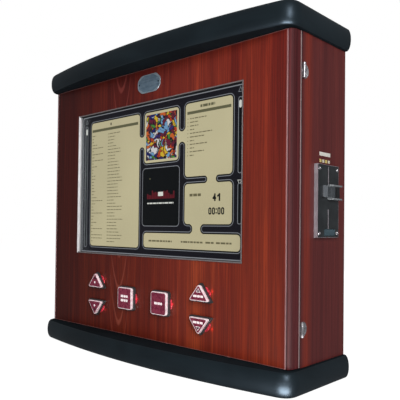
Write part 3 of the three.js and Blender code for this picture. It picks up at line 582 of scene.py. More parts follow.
def lamp_lens():
    """The cap's clear rim: milky, with the lamp's light in it."""
    n = Nodes("lamp_lens")
    cloud = n.cloud(160, detail=3)
    tone = n.blend(cloud, "#d9bcc2", "#f4e6e8")
    glow = n.blend(cloud, "#f0c8ce", "#fff2f3")
    return n.finish(Base_Color=tone, Roughness=n.between(cloud, 0.14, 0.26), Coat_Weight=0.4,
                    Coat_Roughness=0.08, Emission_Color=glow, Emission_Strength=0.22,
                    Normal=n.bump(cloud, 0.05, 0.1 * MM))


def clouded(name, scale, detail, dark, light, rough, glow=0.0, relief=0.0):
    """A small surface that drifts between two tones and may glow. rough is one value, or the
    least and the most."""
    n = Nodes(name)
    cloud = n.cloud(scale, detail=detail)
    tone = n.blend(cloud, dark, light)
    values = {"Base_Color": tone}
    values["Roughness"] = n.between(cloud, *rough) if isinstance(rough, tuple) else rough
    if glow:
        values |= {"Emission_Color": tone, "Emission_Strength": glow}
    if relief:
        values["Normal"] = n.bump(cloud, relief, 0.1 * MM)
    return n.finish(**values)


def lamp_housing():
    """The collar round each cap: satin slate plastic, darker behind the panel."""
    n = Nodes("lamp_housing")
    skin = n.cloud(900, detail=3)
    outside = n.span(n.y, FRONT_Y + 0.5 * MM, FRONT_Y - 0.5 * MM)
    slate = n.blend(skin, "#26292b", "#3a3e40")
    tone = n.mix(outside, "#1c1a1d", slate)
    return n.finish(Base_Color=tone, Roughness=n.between(skin, 0.3, 0.42),
                    Normal=n.bump(skin, 0.1, 0.1 * MM))


FLOOR_GLOW = 0.97          # the floor is nearly as bright as the background


def floor_paper():
    """The pale floor, which lights itself evenly."""
    n = Nodes("floor_paper")
    fibre = n.cloud(60, detail=3)
    tone = n.blend(fibre, "#7c7c7c", "#808080")
    return n.finish(Base_Color=tone, Roughness=0.9, Specular_IOR_Level=0.0,
                    Emission_Color="#ffffff", Emission_Strength=FLOOR_GLOW)


SLOT_MATERIALS = {
    "front_veneer": front_veneer(),
    "side_veneer": side_veneer(),
    "bare_board": bare_board(),
    "cap_black": cap_skin("cap_black", "top_cap", 0.38),
    "plate_black": moulded("plate_black", "#101415", "#1a2022", 0.36, texture=2600, depth=0.05),
    "brushed_plate": sheet_metal("brushed_plate", "#6c6a70", "#9a979e", 0.36, brushed=True),
    "bright_chrome": chrome(),
    "zinc_sheet": sheet_metal("zinc_sheet", "#8b8d8c", "#b4b6b4", 0.42),
    "drive_case": sheet_metal("drive_case", "#7c7e82", "#9a9ca0", 0.5),
    "black_aluminium": sheet_metal("black_aluminium", "#151518", "#26262a", 0.42, brushed=True),
    "dark_plastic": moulded("dark_plastic", "#121113", "#1e1c1f", 0.48),
    "teal_plastic": moulded("teal_plastic", "#34464e", "#4c616a", 0.32, texture=700, depth=0.05),
    "circuit_board": circuit_board(),
    "screen_glass": glass(),
    "screen_black": moulded("screen_black", "#0a090d", "#131118", 0.3),
}
NODE_MATERIALS = {
    "bottom_cap": cap_skin("cap_black_low", "bottom_cap", 0.37),
    "name_plate": name_plate_metal(),
    "screen_trim": satin_trim(),
    "coin_faceplate": coin_plate_enamel(),
    "coin_entry_guide": guide_plastic(),
    "coin_reject_button": ribbed_plastic(),
    "door_right_post": post_veneer(),
}
NODE_MATERIALS["door_left_post"] = NODE_MATERIALS["door_right_post"]
PLATED = plated_steel()
for level in ("upper", "lower"):
    for part in ("cabinet_leaf", "door_leaf", "pin"):
        NODE_MATERIALS[f"{level}_hinge_{part}"] = PLATED
LENS = lamp_lens()
INSERT = clouded("lamp_insert", 90, 3, "#6e2238", "#8a3248", (0.22, 0.34), glow=0.14, relief=0.05)
HOUSING = lamp_housing()
MARK_WHITE = clouded("lamp_mark", 300, 2, "#e8d4d6", "#fff4f4", 0.4, glow=0.35)
MARK_INK = clouded("lamp_ink", 300, 2, "#2c1018", "#3c1822", 0.45)


# ---------------------------------------------------------------- CAD nodes
SMOOTH_UP_TO = math.radians(32)
WELD = 0.005 * MM          # split vertices closer than this become one


def smoothing_nodes():
    """Geometry nodes that weld split vertices and shade smooth across shallow edges."""
    tree = bpy.data.node_groups.new("weld_and_smooth", "GeometryNodeTree")
    tree.interface.new_socket("Geometry", in_out="INPUT", socket_type="NodeSocketGeometry")
    tree.interface.new_socket("Geometry", in_out="OUTPUT", socket_type="NodeSocketGeometry")
    entry = tree.nodes.new("NodeGroupInput")
    weld = tree.nodes.new("GeometryNodeMergeByDistance")
    weld.inputs["Distance"].default_value = WELD
    smooth = tree.nodes.new("GeometryNodeSetShadeSmooth")
    angle = tree.nodes.new("GeometryNodeInputMeshEdgeAngle")
    steep = tree.nodes.new("FunctionNodeCompare")
    steep.data_type = "FLOAT"
    steep.operation = "GREATER_THAN"
    steep.inputs["B"].default_value = SMOOTH_UP_TO
    crease = tree.nodes.new("GeometryNodeSetShadeSmooth")
    crease.domain = "EDGE"
    crease.inputs["Shade Smooth"].default_value = False
    leave = tree.nodes.new("NodeGroupOutput")
    tree.links.new(entry.outputs[0], weld.inputs["Geometry"])
    tree.links.new(weld.outputs["Geometry"], smooth.inputs["Geometry"])
    tree.links.new(smooth.outputs["Geometry"], crease.inputs["Geometry"])
    tree.links.new(angle.outputs["Unsigned Angle"], steep.inputs["A"])
    tree.links.new(steep.outputs["Result"], crease.inputs["Selection"])
    tree.links.new(crease.outputs["Geometry"], leave.inputs[0])
    return tree


SMOOTHING = smoothing_nodes()
SOFT_EDGES = {                 # width of the rounded edges of CAD nodes, in mm
    "door_panel": 0.5, "door_right_post": 0.6, "door_left_post": 0.6,
    "left_side_panel": 0.4, "coin_faceplate": 0.5,
    "name_plate": 0.3, "coin_entry_guide": 0.3, "coin_reject_button": 0.3,
    "screen_trim": 0.35, "lcd_panel": 1.0, "hard_drive": 1.5, "power_supply": 0.5,
    "cash_box": 0.4, "computer_tray": 0.4, "coin_validator": 0.6, "mains_inlet": 0.4,
    "fan_housing": 0.5, "upper_hinge_cabinet_leaf": 0.25, "lower_hinge_cabinet_leaf": 0.25,
    "top_board": 0.6, "bottom_board": 0.6,
}


def soften(obj, width):
    """Round a node's sharp edges, once its flat faces are whole again."""
    merge = obj.modifiers.new("merge_flat_faces", "DECIMATE")
    merge.decimate_type = "DISSOLVE"
    merge.angle_limit = math.radians(0.5)
    bevel = obj.modifiers.new("soft_edges", "BEVEL")
    bevel.width = width * MM
    bevel.segments = 2
    bevel.limit_method = "ANGLE"
    bevel.angle_limit = math.radians(40)
    bevel.harden_normals = True


def dress_cad_nodes():
    """Give each node its material: its own, its kind's, or that of its slot."""
    for name, obj in NODES.items():
        slot = obj.data.materials[0].name.split(".")[0]
        look = NODE_MATERIALS.get(name, SLOT_MATERIALS.get(slot))
        if name.endswith("_button_cap"):
            look = LENS
        if name.endswith("_button_housing"):
            look = HOUSING
        obj.material_slots[0].material = look
        smoothing = obj.modifiers.new("weld_and_smooth", "NODES")
        smoothing.node_group = SMOOTHING
        if name in SOFT_EDGES:
            soften(obj, SOFT_EDGES[name])


# ---------------------------------------------------------------- mesh helpers
def grown(corners, distance):
    """The corners of a convex outline, each edge moved outwards by distance."""
    made = []
    for i, corner in enumerate(corners):
        here = Vector(corner)
        a = (here - Vector(corners[i - 1])).normalized()
        b = (Vector(corners[(i + 1) % len(corners)]) - here).normalized()
        made.append(here + (a - b) * (distance / (a.x * b.y - a.y * b.x)))
    return made


def rounded(corners, radius, steps=6):
    """An outline whose corners are quadratic curves that start radius before each corner."""
    made = []
    for i, corner in enumerate(corners):
        here = Vector(corner)
        start = here + (Vector(corners[i - 1]) - here).normalized() * radius
        end = here + (Vector(corners[(i + 1) % len(corners)]) - here).normalized() * radius
        for k in range(steps + 1):
            t = k / steps
            made.append(start * (1 - t) ** 2 + here * (2 * t * (1 - t)) + end * t ** 2)
    return made


def arc_rectangle(left, right, bottom, top, radius, steps=6):
    """A rectangle with circular corners, anticlockwise from its lower left."""
    middles = ((left + radius, bottom + radius, 180), (right - radius, bottom + radius, 270),
               (right - radius, top - radius, 0), (left + radius, top - radius, 90))
    made = []
    for x, z, first in middles:
        for k in range(steps + 1):
            turn = math.radians(first + 90 * k / steps)
            made.append(Vector((x + radius * math.cos(turn), z + radius * math.sin(turn))))
    return made


def circle(x, z, radius, steps=24):
    """A round outline about (x, z)."""
    turns = [2 * math.pi * k / steps for k in range(steps)]
    return [Vector((x + radius * math.cos(t), z + radius * math.sin(t))) for t in turns]


FRONT_WALL = Matrix(((1, 0, 0), (0, 0, -1), (0, 1, 0)))    # outline x, z; height towards -Y
RIGHT_WALL = Matrix(((0, 0, 1), (1, 0, 0), (0, 1, 0)))     # outline y, z; height towards +X
BACK_WALL = Matrix(((-1, 0, 0), (0, 0, 1), (0, 1, 0)))     # outline -x, z; height towards +Y


def add_slab(bm, outline, origin, wall, height, edge=0.0, material=0):
    """A closed slab of that outline (mm) on a wall, with its front edge chamfered by edge."""
    centre = sum(outline, Vector((0, 0))) / len(outline)
    inner = [p + (centre - p).normalized() * edge for p in outline]
    rings = []
    for points, level in ((outline, 0.0), (outline, height - edge), (inner, height)):
        rings.append([bm.verts.new(origin + wall @ Vector((p.x, p.y, level)) * MM) for p in points])
    count = len(outline)
    faces = [bm.faces.new(list(reversed(rings[0]))), bm.faces.new(rings[2])]
    for lower, upper in zip(rings, rings[1:]):
        for i in range(count):
            j = (i + 1) % count
            faces.append(bm.faces.new((lower[i], lower[j], upper[j], upper[i])))
    for face in faces:
        face.material_index = material


def add_lathe(bm, profile, origin, wall, sides=24, squeeze=None):
    """A closed turned shape about the wall's normal; profile is (radius, height) in mm from the
    rim to the middle. squeeze(x, y, height) may lower a point's height, as for a recess."""
    rings = []
    for radius, height in profile:
        ring = []
        for k in range(sides):
            turn = 2 * math.pi * k / sides
            x, y = radius * math.cos(turn), radius * math.sin(turn)
            level = squeeze(x, y, height) if squeeze else height
            ring.append(bm.verts.new(origin + wall @ Vector((x, y, level)) * MM))
        rings.append(ring)
    level = squeeze(0, 0, profile[-1][1]) if squeeze else profile[-1][1]
    tip = bm.verts.new(origin + wall @ Vector((0, 0, level)) * MM)
    bm.faces.new(list(reversed(rings[0])))
    for lower, upper in zip(rings, rings[1:]):
        for i in range(sides):
            j = (i + 1) % sides
            bm.faces.new((lower[i], lower[j], upper[j], upper[i]))
    for i in range(sides):
        bm.faces.new((rings[-1][i], rings[-1][(i + 1) % sides], tip))


def add_screw(bm, origin, wall, radius, height, turn=0.4):
    """A domed head with a cross recess, turned by turn radians."""
    half_width = 0.17 * radius
    reach = 0.62 * radius
    depth = 0.55 * height
    rim = 0.45             # height of the head's rim, as a share of its middle's
    cos, sin = math.cos(turn), math.sin(turn)

    def recess(x, y, level):
        u, v = abs(x * cos + y * sin), abs(y * cos - x * sin)
        inside = (u < half_width and v < reach) or (v < half_width and u < reach)
        return level - depth if inside else level

    profile = [(radius, 0.0)]
    for share in (1.0, 0.97, 0.88, 0.76, 0.64, 0.54, 0.44, 0.34, 0.24, 0.16, 0.08):
        dome = math.sqrt(1 - share * share)
        profile.append((radius * share, height * (rim + 0.55 * dome)))
    add_lathe(bm, profile, origin, wall, sides=40, squeeze=recess)


def make_piece(name, bm, materials, body, smooth=False):
    """Turn the mesh into an object that rides on a body."""
    bmesh.ops.recalc_face_normals(bm, faces=bm.faces)
    mesh = bpy.data.meshes.new(name)
    bm.to_mesh(mesh)
    bm.free()
    for material in materials:
        mesh.materials.append(material)
    if smooth:
        mesh.shade_smooth()
        mesh.set_sharp_from_angle(angle=SMOOTH_UP_TO)
    obj = bpy.data.objects.new(name, mesh)
    bpy.context.scene.collection.objects.link(obj)
    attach(obj, body)


# ---------------------------------------------------------------- display picture
# Places are in mm from the middle of the display: (left, right, bottom, top).
PANELS = {
    "list": (-226, -43, -153, 150.5),
    "art": (-26, 83, 37, 149.5),
    "queue": (103, 231, -1, 151.5),
    "credits": (103, 231, -99, -16),
    "marquee": (-25, 252, -151, -119),
}
SCREEN_HALF = (262, 169)
BEZEL = 2.2                # pale line round the lit area
PANEL_RADIUS = 8.0
BLACK_BAND = 3.0           # round each panel
GREY_LINE = 1.3            # round that
VISUALIZER = (-30, 86, -103, 24)
LEVEL_FOOT = -44           # where the level bars stand
ROW_PITCH = 7.65
FIRST_ROW = 33             # below a panel's top
SLOT_DEPTH = 17            # how far a slot's round end is painted into it
WORD_GAP = 1.8
LEFT_BAR_X, RIGHT_BAR_X = -246.5, 249.5
BAR_HALF = 5               # half width of a scroll bar
ARROW = (5.5, 11)          # half width and height of a scroll bar's arrow
TONES = {
    "dark": "#16111a", "line": "#98969c", "black": "#050407", "tan": "#dac9a2", "header": "#6d674c",
    "ink": "#100e0c", "faint": "#766b4e", "red": "#6a1420", "white": "#f2ece4",
}
DARK, LINE, BLACK, TAN, HEADER, INK, FAINT, RED, WHITE, ART = range(len(TONES) + 1)


def box_outline(left, right, bottom, top):
    """A rectangle, anticlockwise from its lower left."""
    return [Vector(p) for p in ((left, bottom), (right, bottom), (right, top), (left, top))]


def widened(place, by):
    """A place with each side moved outwards."""
    left, right, bottom, top = place
    return left - by, right + by, bottom - by, top + by


def stroke(points, width):
    """The outline of one straight stroke with square ends."""
    a, b = (Vector(p) for p in points)
    along = (b - a).normalized() * (width / 2)
    side = Vector((-along.y, along.x))
    return [a - along - side, b + along - side, b + along + side, a - along + side]


class Picture:
    """Outlines painted one over the other, then cut into one flat mesh."""

    def __init__(self):
        self.layers = []

    def paint(self, outline, tone):
        self.layers.append((outline, tone))

    def panel(self, place, tone, radius=PANEL_RADIUS):
        for grow, colour in ((BLACK_BAND + GREY_LINE, LINE), (BLACK_BAND, BLACK), (0, tone)):
            self.paint(arc_rectangle(*widened(place, grow), radius + grow), colour)

    def slot_end(self, across, at, towards, upright=True):
        """The round end of the dark slot between two panels, where a bridge crosses it."""
        low, high = across
        for shrink, colour in ((0, BLACK), (BLACK_BAND, LINE), (BLACK_BAND + GREY_LINE, DARK)):
            radius = (high - low) / 2 - shrink
            near, far = at + shrink * towards, at + SLOT_DEPTH * towards
            first, last = min(near, far), max(near, far)
            sides = (low + shrink, high - shrink)
            place = (*sides, first, last) if upright else (first, last, *sides)
            points = []
            for p in arc_rectangle(*place, radius - 0.01, steps=8):
                beyond = (p.y if upright else p.x) - (far - towards * radius)
                if beyond * towards <= 0.02:
                    points.append(p)
            square = [(sides[0], far), (sides[1], far)] if upright else [(far, sides[0]), (far, sides[1])]
            middle = sum(points, Vector((0, 0))) / len(points)
            points += [Vector(p) for p in square]
            points.sort(key=lambda p: math.atan2(p.y - middle.y, p.x - middle.x))
            self.paint(points, colour)

    def bridge(self, gap, span, upright=True):
        """Tan across the slot between two panels, with a round slot end on either side."""
        low, high = gap
        first, last = span
        reach = (high - low) / 2 + 2
        wide = (low - 1, high + 1, first - reach, last + reach)
        place = wide if upright else (wide[2], wide[3], wide[0], wide[1])
        self.paint(box_outline(*place), TAN)
        self.slot_end(gap, last, 1, upright)
        self.slot_end(gap, first, -1, upright)

    def words(self, rng, left, z, length, height, tone):
        """A row of blank bars of random lengths that stands for a line of text."""
        at = left
        while at < left + length:
            end = min(at + rng.uniform(4, 13), left + length)
            self.paint(box_outline(at, end, z, z + height), tone)
            at = end + WORD_GAP

    def digit(self, figure, left, bottom, height, weight):
        """A plain 0, 1 or 4."""
        w = height * 0.56
        x0, x1 = left + weight / 2, left + w - weight / 2
        z0, z1 = bottom + weight / 2, bottom + height - weight / 2
        bar = z0 + 0.26 * height
        if figure == "0":
            self.paint(arc_rectangle(left, left + w, bottom, bottom + height, w * 0.48), INK)
            hole = (left + weight, left + w - weight, bottom + weight, bottom + height - weight)
            self.paint(arc_rectangle(*hole, (w - 2 * weight) * 0.48), TAN)
        elif figure == "1":
            self.paint(stroke(((x1, z0), (x1, z1)), weight), INK)
            self.paint(stroke(((x1 - 0.28 * height, z1 - 0.2 * height), (x1, z1)), weight * 0.9), INK)
        elif figure == "4":
            self.paint(stroke(((x1 - 0.5, z0), (x1 - 0.5, z1)), weight), INK)
            self.paint(stroke(((x0, bar), (x1 + 1, bar)), weight), INK)
            self.paint(stroke(((x0, bar), (x1 - 0.5, z1)), weight * 0.8), INK)

    def faces(self):
        """Vertices and triangles, each with the tone of the outline painted last over it."""
        points, loops = [], []
        for outline, _ in self.layers:
            start = len(points)
            points.extend(Vector((p[0], p[1])) for p in outline)
            loops.append(list(range(start, len(points))))
        verts, _, triangles, _, _, origins = delaunay_2d_cdt(points, [], loops, 1, 1e-4, True)
        tones = [self.layers[max(found)][1] if found else DARK for found in origins]
        return verts, triangles, tones


def draw_list_rows(picture, rng):
    """A header, and two columns of lines of text."""
    left, right, bottom, top = PANELS["list"]
    picture.paint(box_outline(left + 3, right - 6, top - 23, top - 16.5), HEADER)
    picture.paint(box_outline(-151, -147, top - 12, top - 6), INK)
    row = top - FIRST_ROW
    while row > bottom + 4:
        picture.words(rng, left + 3, row, rng.choice((6, 9, 14, 20, 44)), 1.6, FAINT)
        picture.words(rng, left + 66, row, rng.uniform(18, 60), 1.6, FAINT)
        row -= ROW_PITCH


def draw_queue_rows(picture, rng):
    """A title, a header and eleven lines of text with a dot before each."""
    left, right, _, top = PANELS["queue"]
    picture.paint(box_outline(left + 5, right - 4, top - 23, top - 17), HEADER)
    picture.words(rng, left + 42, top - 12, 40, 5.4, HEADER)
    for i in range(11):
        row = top - FIRST_ROW - i * ROW_PITCH
        picture.paint(box_outline(left + 6, left + 8, row, row + 1.8), FAINT)
        picture.words(rng, left + 13, row, rng.choice((12, 24, 40, 48, 62, 84)), 2.0, FAINT)


def draw_credits(picture, rng):
    """A word, a number of two figures, and a time of four with a colon."""
    left, _, bottom, top = PANELS["credits"]
    picture.words(rng, left + 14, top - 26, 32, 5.5, FAINT)
    picture.digit("4", 181, top - 37, 15, 3.9)
    picture.digit("1", 192.5, top - 37, 15, 3.9)
    for at in (170, 179.5, 194, 203.5):
        picture.digit("0", at, bottom + 19, 14.5, 2.9)
    for level in (21, 28.5):
        picture.paint(box_outline(189.2, 192.4, bottom + level, bottom + level + 3), INK)


def draw_visualizer(picture, rng):
    """Red level bars on a short scale, with one pale bar in the middle and a pale line below."""
    left, right = VISUALIZER[:2]
    for i in range(17):
        at = left + 15 + i * 5.2
        tall = rng.uniform(6, 20)
        picture.paint(box_outline(at, at + 4.2, LEVEL_FOOT, LEVEL_FOOT + tall), RED)
    middle = (left + right) / 2
    picture.paint(box_outline(middle - 7, middle + 9, LEVEL_FOOT + 6, LEVEL_FOOT + 15), WHITE)
    picture.words(rng, left + 16, LEVEL_FOOT - 11, 84, 3.0, WHITE)
    picture.paint(circle(left + 24, 1, 1.8), HEADER)


def draw_bar(picture, x, foot, top):
    """A scroll bar's long round slot."""
    for shrink, colour in ((0, LINE), (GREY_LINE, BLACK)):
        place = widened((x - BAR_HALF, x + BAR_HALF, foot, top), -shrink)
        picture.paint(arc_rectangle(*place, 4.4 - shrink), colour)


def draw_arrow(picture, corners, tone):
    for shrink, colour in ((0, tone), (GREY_LINE, BLACK)):
        picture.paint(grown(corners, -shrink * 0.8), colour)


def draw_scroll_bars(picture):
    """A bar with an arrow above and a pale knob on each side, and the right one's lower end."""
    half, tall = ARROW
    knob = 131.5
    for x, top, foot in ((LEFT_BAR_X, 163, -158), (RIGHT_BAR_X, 165.5, -1.5)):
        draw_bar(picture, x, foot, knob + 14)
        draw_arrow(picture, [(x - half, top - tall), (x + half, top - tall), (x, top)], LINE)
        picture.paint(arc_rectangle(x - 3.2, x + 3.2, knob - 7.5, knob + 7.5, 3.1), WHITE)
    x, top = RIGHT_BAR_X, -14
    draw_arrow(picture, [(x, top - tall), (x + half, top), (x - half, top)], WHITE)
    draw_bar(picture, x, -99, -20)


def paint_picture():
    """The whole picture, from the back to the front."""
    rng = random.Random(41)
    picture = Picture()
    wide, tall = SCREEN_HALF
    screen = (-wide, wide, -tall, tall)
    picture.paint(box_outline(*screen), LINE)
    picture.paint(box_outline(*widened(screen, -BEZEL)), DARK)
    for name, place in PANELS.items():
        picture.panel(place, TAN)
    for grow, colour in ((GREY_LINE, LINE), (0, BLACK)):
        picture.paint(arc_rectangle(*widened(VISUALIZER, grow), PANEL_RADIUS + grow), colour)
    columns = ((PANELS["list"][1], PANELS["art"][0]), (PANELS["art"][1], PANELS["queue"][0]))
    for gap in columns:
        picture.bridge(gap, (74, 96))
    picture.bridge((PANELS["credits"][3], PANELS["queue"][2]), (166, 189), upright=False)
    picture.bridge((PANELS["marquee"][3], PANELS["credits"][2]), (126, 148), upright=False)
    picture.paint(box_outline(*widened(PANELS["art"], -5.5)), ART)
    draw_visualizer(picture, rng)
    draw_list_rows(picture, rng)
    draw_queue_rows(picture, rng)
    draw_credits(picture, rng)
    left, right, bottom, top = PANELS["marquee"]
    for start, length in ((17, 74), (118, 62), (188, 22), (216, 40)):
        picture.words(rng, left + start, (bottom + top) / 2 - 3, length, 3.6, FAINT)
    draw_scroll_bars(picture)
    return picture


def display_picture():
    """The picture as a thin closed sheet on the display's face."""
    verts, triangles, tones = paint_picture().faces()
    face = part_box("lcd_panel")[0].y
    centre = (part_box("screen_glass")[0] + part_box("screen_glass")[1]) / 2
    front = face - 0.35 * MM
    back = face - 0.1 * MM
    bm = bmesh.new()
    placed = [bm.verts.new((centre.x + v.x * MM, front, centre.z + v.y * MM)) for v in verts]
    for triangle, tone in zip(triangles, tones):
        bm.faces.new([placed[i] for i in triangle]).material_index = tone
    rim = bmesh.ops.extrude_edge_only(bm, edges=[e for e in bm.edges if e.is_boundary])
    for part in rim["geom"]:
        if isinstance(part, bmesh.types.BMVert):
            part.co.y = back
    bmesh.ops.contextual_create(bm, geom=[e for e in bm.edges if e.is_boundary])
    looks = [lit(f"display_{name}", tone) for name, tone in TONES.items()] + [album_art()]
    make_piece("display_picture", bm, looks, "door")


# ---------------------------------------------------------------- lamp buttons
TRIANGLE_HALF = (27.0, 17.0)       # half the width and height of a triangle cap
INSERT_CORNER = 4.0        # where an insert's corners start to round
FRAME_WIDTH = 1.9          # clear rim round each insert
COLLAR_REACH = 2.4 * MM    # from the cap's slanted side to the collar's
INSERT_HEIGHT = 0.25
MARK_HEIGHT = 0.12


def triangle(wide, tall, up, z=0.0):
    """Corners of an arrow about (0, z), of half that width and height, anticlockwise."""
    flip = 1 if up else -1
    corners = [(-wide, z - flip * tall), (wide, z - flip * tall), (0.0, z + flip * tall)]
    return corners if up else list(reversed(corners))


def button_marks(name):
    """(outline, is_light) of each mark on a button's insert, in mm about its centre."""
    side, which = name.split("_")
    if side == "select":
        rows = (4.6, -4.6) if which == "one" else (0.0,)
        bars = []
        for z in rows:
            for left, right in ((-12, -3.4), (-2, 5.4), (6.8, 12)):
                bars.append((box_outline(left, right, z - 2.6, z + 2.6), True))
        return bars
    up = which == "up"
    flip = 1 if up else -1
    if side == "left":
        return [(triangle(5.2, 3.2, up, flip * 5.2), False), (circle(0, -flip * 5.6, 2.6), True)]
    marks = [(triangle(6.2, 4.0, up, flip * 4.4), True), (triangle(4.4, 2.6, up, flip * 4.1), False)]
    row = -flip * 7.4
    for left, right in ((-13.5, -4), (-2.6, 4.2), (5.6, 13)):
        marks.append((box_outline(left, right, row - 2.2, row + 2.2), True))
    return marks


def button_centre(name):
    """The middle of a cap's face; a triangle's is half way between its flat side and its tip."""
    low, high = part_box(f"{name}_button_cap")
    centre = Vector(((low.x + high.x) / 2, low.y, (low.z + high.z) / 2))
    if name.endswith("up"):
        centre.z = low.z + TRIANGLE_HALF[1] * MM
    if name.endswith("down"):
        centre.z = high.z - TRIANGLE_HALF[1] * MM
    return centre


def button_insert(name):
    """The coloured field on a cap's face, with its marks."""
    low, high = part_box(f"{name}_button_cap")
    centre = button_centre(name)
    if name.startswith("select"):
        wide, tall = (high.x - low.x) / 2 / MM, (high.z - low.z) / 2 / MM
        corners = [(-wide, -tall), (wide, -tall), (wide, tall), (-wide, tall)]
    else:
        corners = triangle(*TRIANGLE_HALF, name.endswith("up"))
    outline = rounded(grown(corners, -FRAME_WIDTH), INSERT_CORNER)
    bm = bmesh.new()
    add_slab(bm, outline, centre, FRONT_WALL, INSERT_HEIGHT, 0.12)
    for i, (mark, light) in enumerate(button_marks(name)):
        lift = 0.0 if light else 0.04 * i
        level = centre - Vector((0, (INSERT_HEIGHT - 0.02 + lift) * MM, 0))
        points = [Vector(p) for p in mark]
        add_slab(bm, points, level, FRONT_WALL, MARK_HEIGHT, 0.03, 1 if light else 2)
    make_piece(f"{name}_insert", bm, [INSERT, MARK_WHITE, MARK_INK], f"{name}_button")


GLOW_POWER = 0.001         # W
GLOW_REACH = 6.0 * MM      # from the collar's right side
GLOW_RISE = 2.0 * MM       # off the panel
LEAK_WIDTH = 5.0           # painted red glow at the foot of each collar's right side
LEAK_HALF_HEIGHT = 11.0
LEAK_HEIGHT = 0.5


def lamp_leak():
    """Red lamp light painted as a glowing patch, with no lamp of its own."""
    n = Nodes("lamp_leak")
    cloud = n.cloud(260, detail=2)
    tone = n.mix(n.span(cloud, 0.35, 0.65), "#8a1020", "#d83c4c")
    return n.finish(Base_Color=tone, Roughness=0.3, Emission_Color=tone, Emission_Strength=0.55)


PAINTED_LEAK = lamp_leak()


def painted_leak_glow(name):
    """A thin red half-moon of painted lamp light, glowing on the wood where the collar meets it."""
    steps = 12
    bend = [math.radians(180 * k / steps - 90) for k in range(steps + 1)]
    moon = [Vector((LEAK_WIDTH * math.cos(t), LEAK_HALF_HEIGHT * math.sin(t))) for t in bend]
    lean, side = 0.0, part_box(f"{name}_button_cap")[1].x - button_centre(name).x
    if not name.startswith("select"):
        slant = math.atan(TRIANGLE_HALF[0] / (2 * TRIANGLE_HALF[1]))
        lean = slant if name.endswith("up") else -slant
        side = TRIANGLE_HALF[0] / 2 * MM
    cos, sin = math.cos(lean), math.sin(lean)
    turned = [Vector((p.x * cos - p.y * sin, p.x * sin + p.y * cos)) for p in moon]
    foot = button_centre(name) + Vector((side + COLLAR_REACH * cos, 0, COLLAR_REACH * sin))
    foot.y = FRONT_Y
    bm = bmesh.new()
    add_slab(bm, turned, foot, FRONT_WALL, LEAK_HEIGHT, 0.15)
    make_piece(f"{name}_leak", bm, [PAINTED_LEAK], "door")


def lamp_glow(name):
    """The red light that leaks past a cap's right side onto the wood."""
    low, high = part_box(f"{name}_button_housing")
    data = bpy.data.lights.new(f"{name}_glow", "POINT")
    data.color = (1.0, 0.05, 0.08)
    data.energy = GLOW_POWER
    data.shadow_soft_size = 1.5 * MM
    light = bpy.data.objects.new(f"{name}_glow", data)
    inward, lift = 0.0, 0.0
    if not name.startswith("select"):
        inward, lift = 9.0 * MM, (4.0 if name.endswith("up") else -4.0) * MM
    light.location = (high.x + GLOW_REACH - inward, FRONT_Y - GLOW_RISE, (low.z + high.z) / 2 + lift)
    light.visible_camera = False
    light.visible_glossy = False
    bpy.context.scene.collection.objects.link(light)
    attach(light, "door")


# ---------------------------------------------------------------- fasteners and small pieces
def name_plate_rivets():
    """A dark rivet at either end of the name plate."""
    low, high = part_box("name_plate")
    middle = (low + high) / 2
    bm = bmesh.new()
    profile = [(1.7, 0), (1.7, 0.25), (1.5, 0.6), (1.1, 0.85), (0.5, 1.0)]
    for share in (-0.84, 0.84):
        x = middle.x + share * (high.x - low.x) / 2
        add_lathe(bm, profile, Vector((x, low.y, middle.z)), FRONT_WALL)
    metal = sheet_metal("rivet_metal", "#12161a", "#20262b", 0.4)
    make_piece("name_plate_rivets", bm, [metal], "door", smooth=True)


def coin_plate_screws():
    """A screw in each corner, on the plate's flat face below its ridges."""
    low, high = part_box("coin_faceplate")
    face = high.x - 0.8 * MM
    bm = bmesh.new()
    for y in (low.y + 5.5 * MM, high.y - 6.5 * MM):
        for z in (low.z + 8 * MM, high.z - 8 * MM):
            add_screw(bm, Vector((face, y, z)), RIGHT_WALL, 3.2, 1.5, turn=0.5 + 40 * y)
    make_piece("coin_plate_screws", bm, [PLATED], "root", smooth=True)


def hinge_screws():
    """A large and a small screw on the cabinet's leaf of each hinge."""
    face = SIDE_X + 1.5 * MM
    bm = bmesh.new()
    for level in ("upper", "lower"):
        low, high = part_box(f"{level}_hinge_cabinet_leaf")
        middle = (low.z + high.z) / 2
        add_screw(bm, Vector((face, high.y - 8.5 * MM, middle + 4.5 * MM)), RIGHT_WALL, 3.4, 2.2)
        add_screw(bm, Vector((face, high.y - 8.0 * MM, middle - 6.5 * MM)), RIGHT_WALL, 2.5, 1.4, 1.1)
    make_piece("hinge_screws", bm, [PLATED], "root", smooth=True)


def side_stickers():
    """A blank strip and four small blank marks above the coin acceptor."""
    plate_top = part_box("coin_faceplate")[1].z
    at = Vector((SIDE_X, 0, plate_top))
    first, last = 23, 62   # front and rear ends of the row
    thick, edge = 0.25, 0.05
    bm = bmesh.new()
    add_slab(bm, box_outline(first, last, 17, 24), at, RIGHT_WALL, thick, edge)
    for i in range(4):
        left = first + i * 10.2
        add_slab(bm, box_outline(left, left + 6.8, 4.6, 10.4), at, RIGHT_WALL, thick, edge, 1 + i % 2)
    papers = (("label_white", "#d6d2ca"), ("label_yellow", "#c8b468"), ("label_pale", "#cfc9b4"))
    looks = [paper(name, tone) for name, tone in papers]
    make_piece("side_stickers", bm, looks, "root")


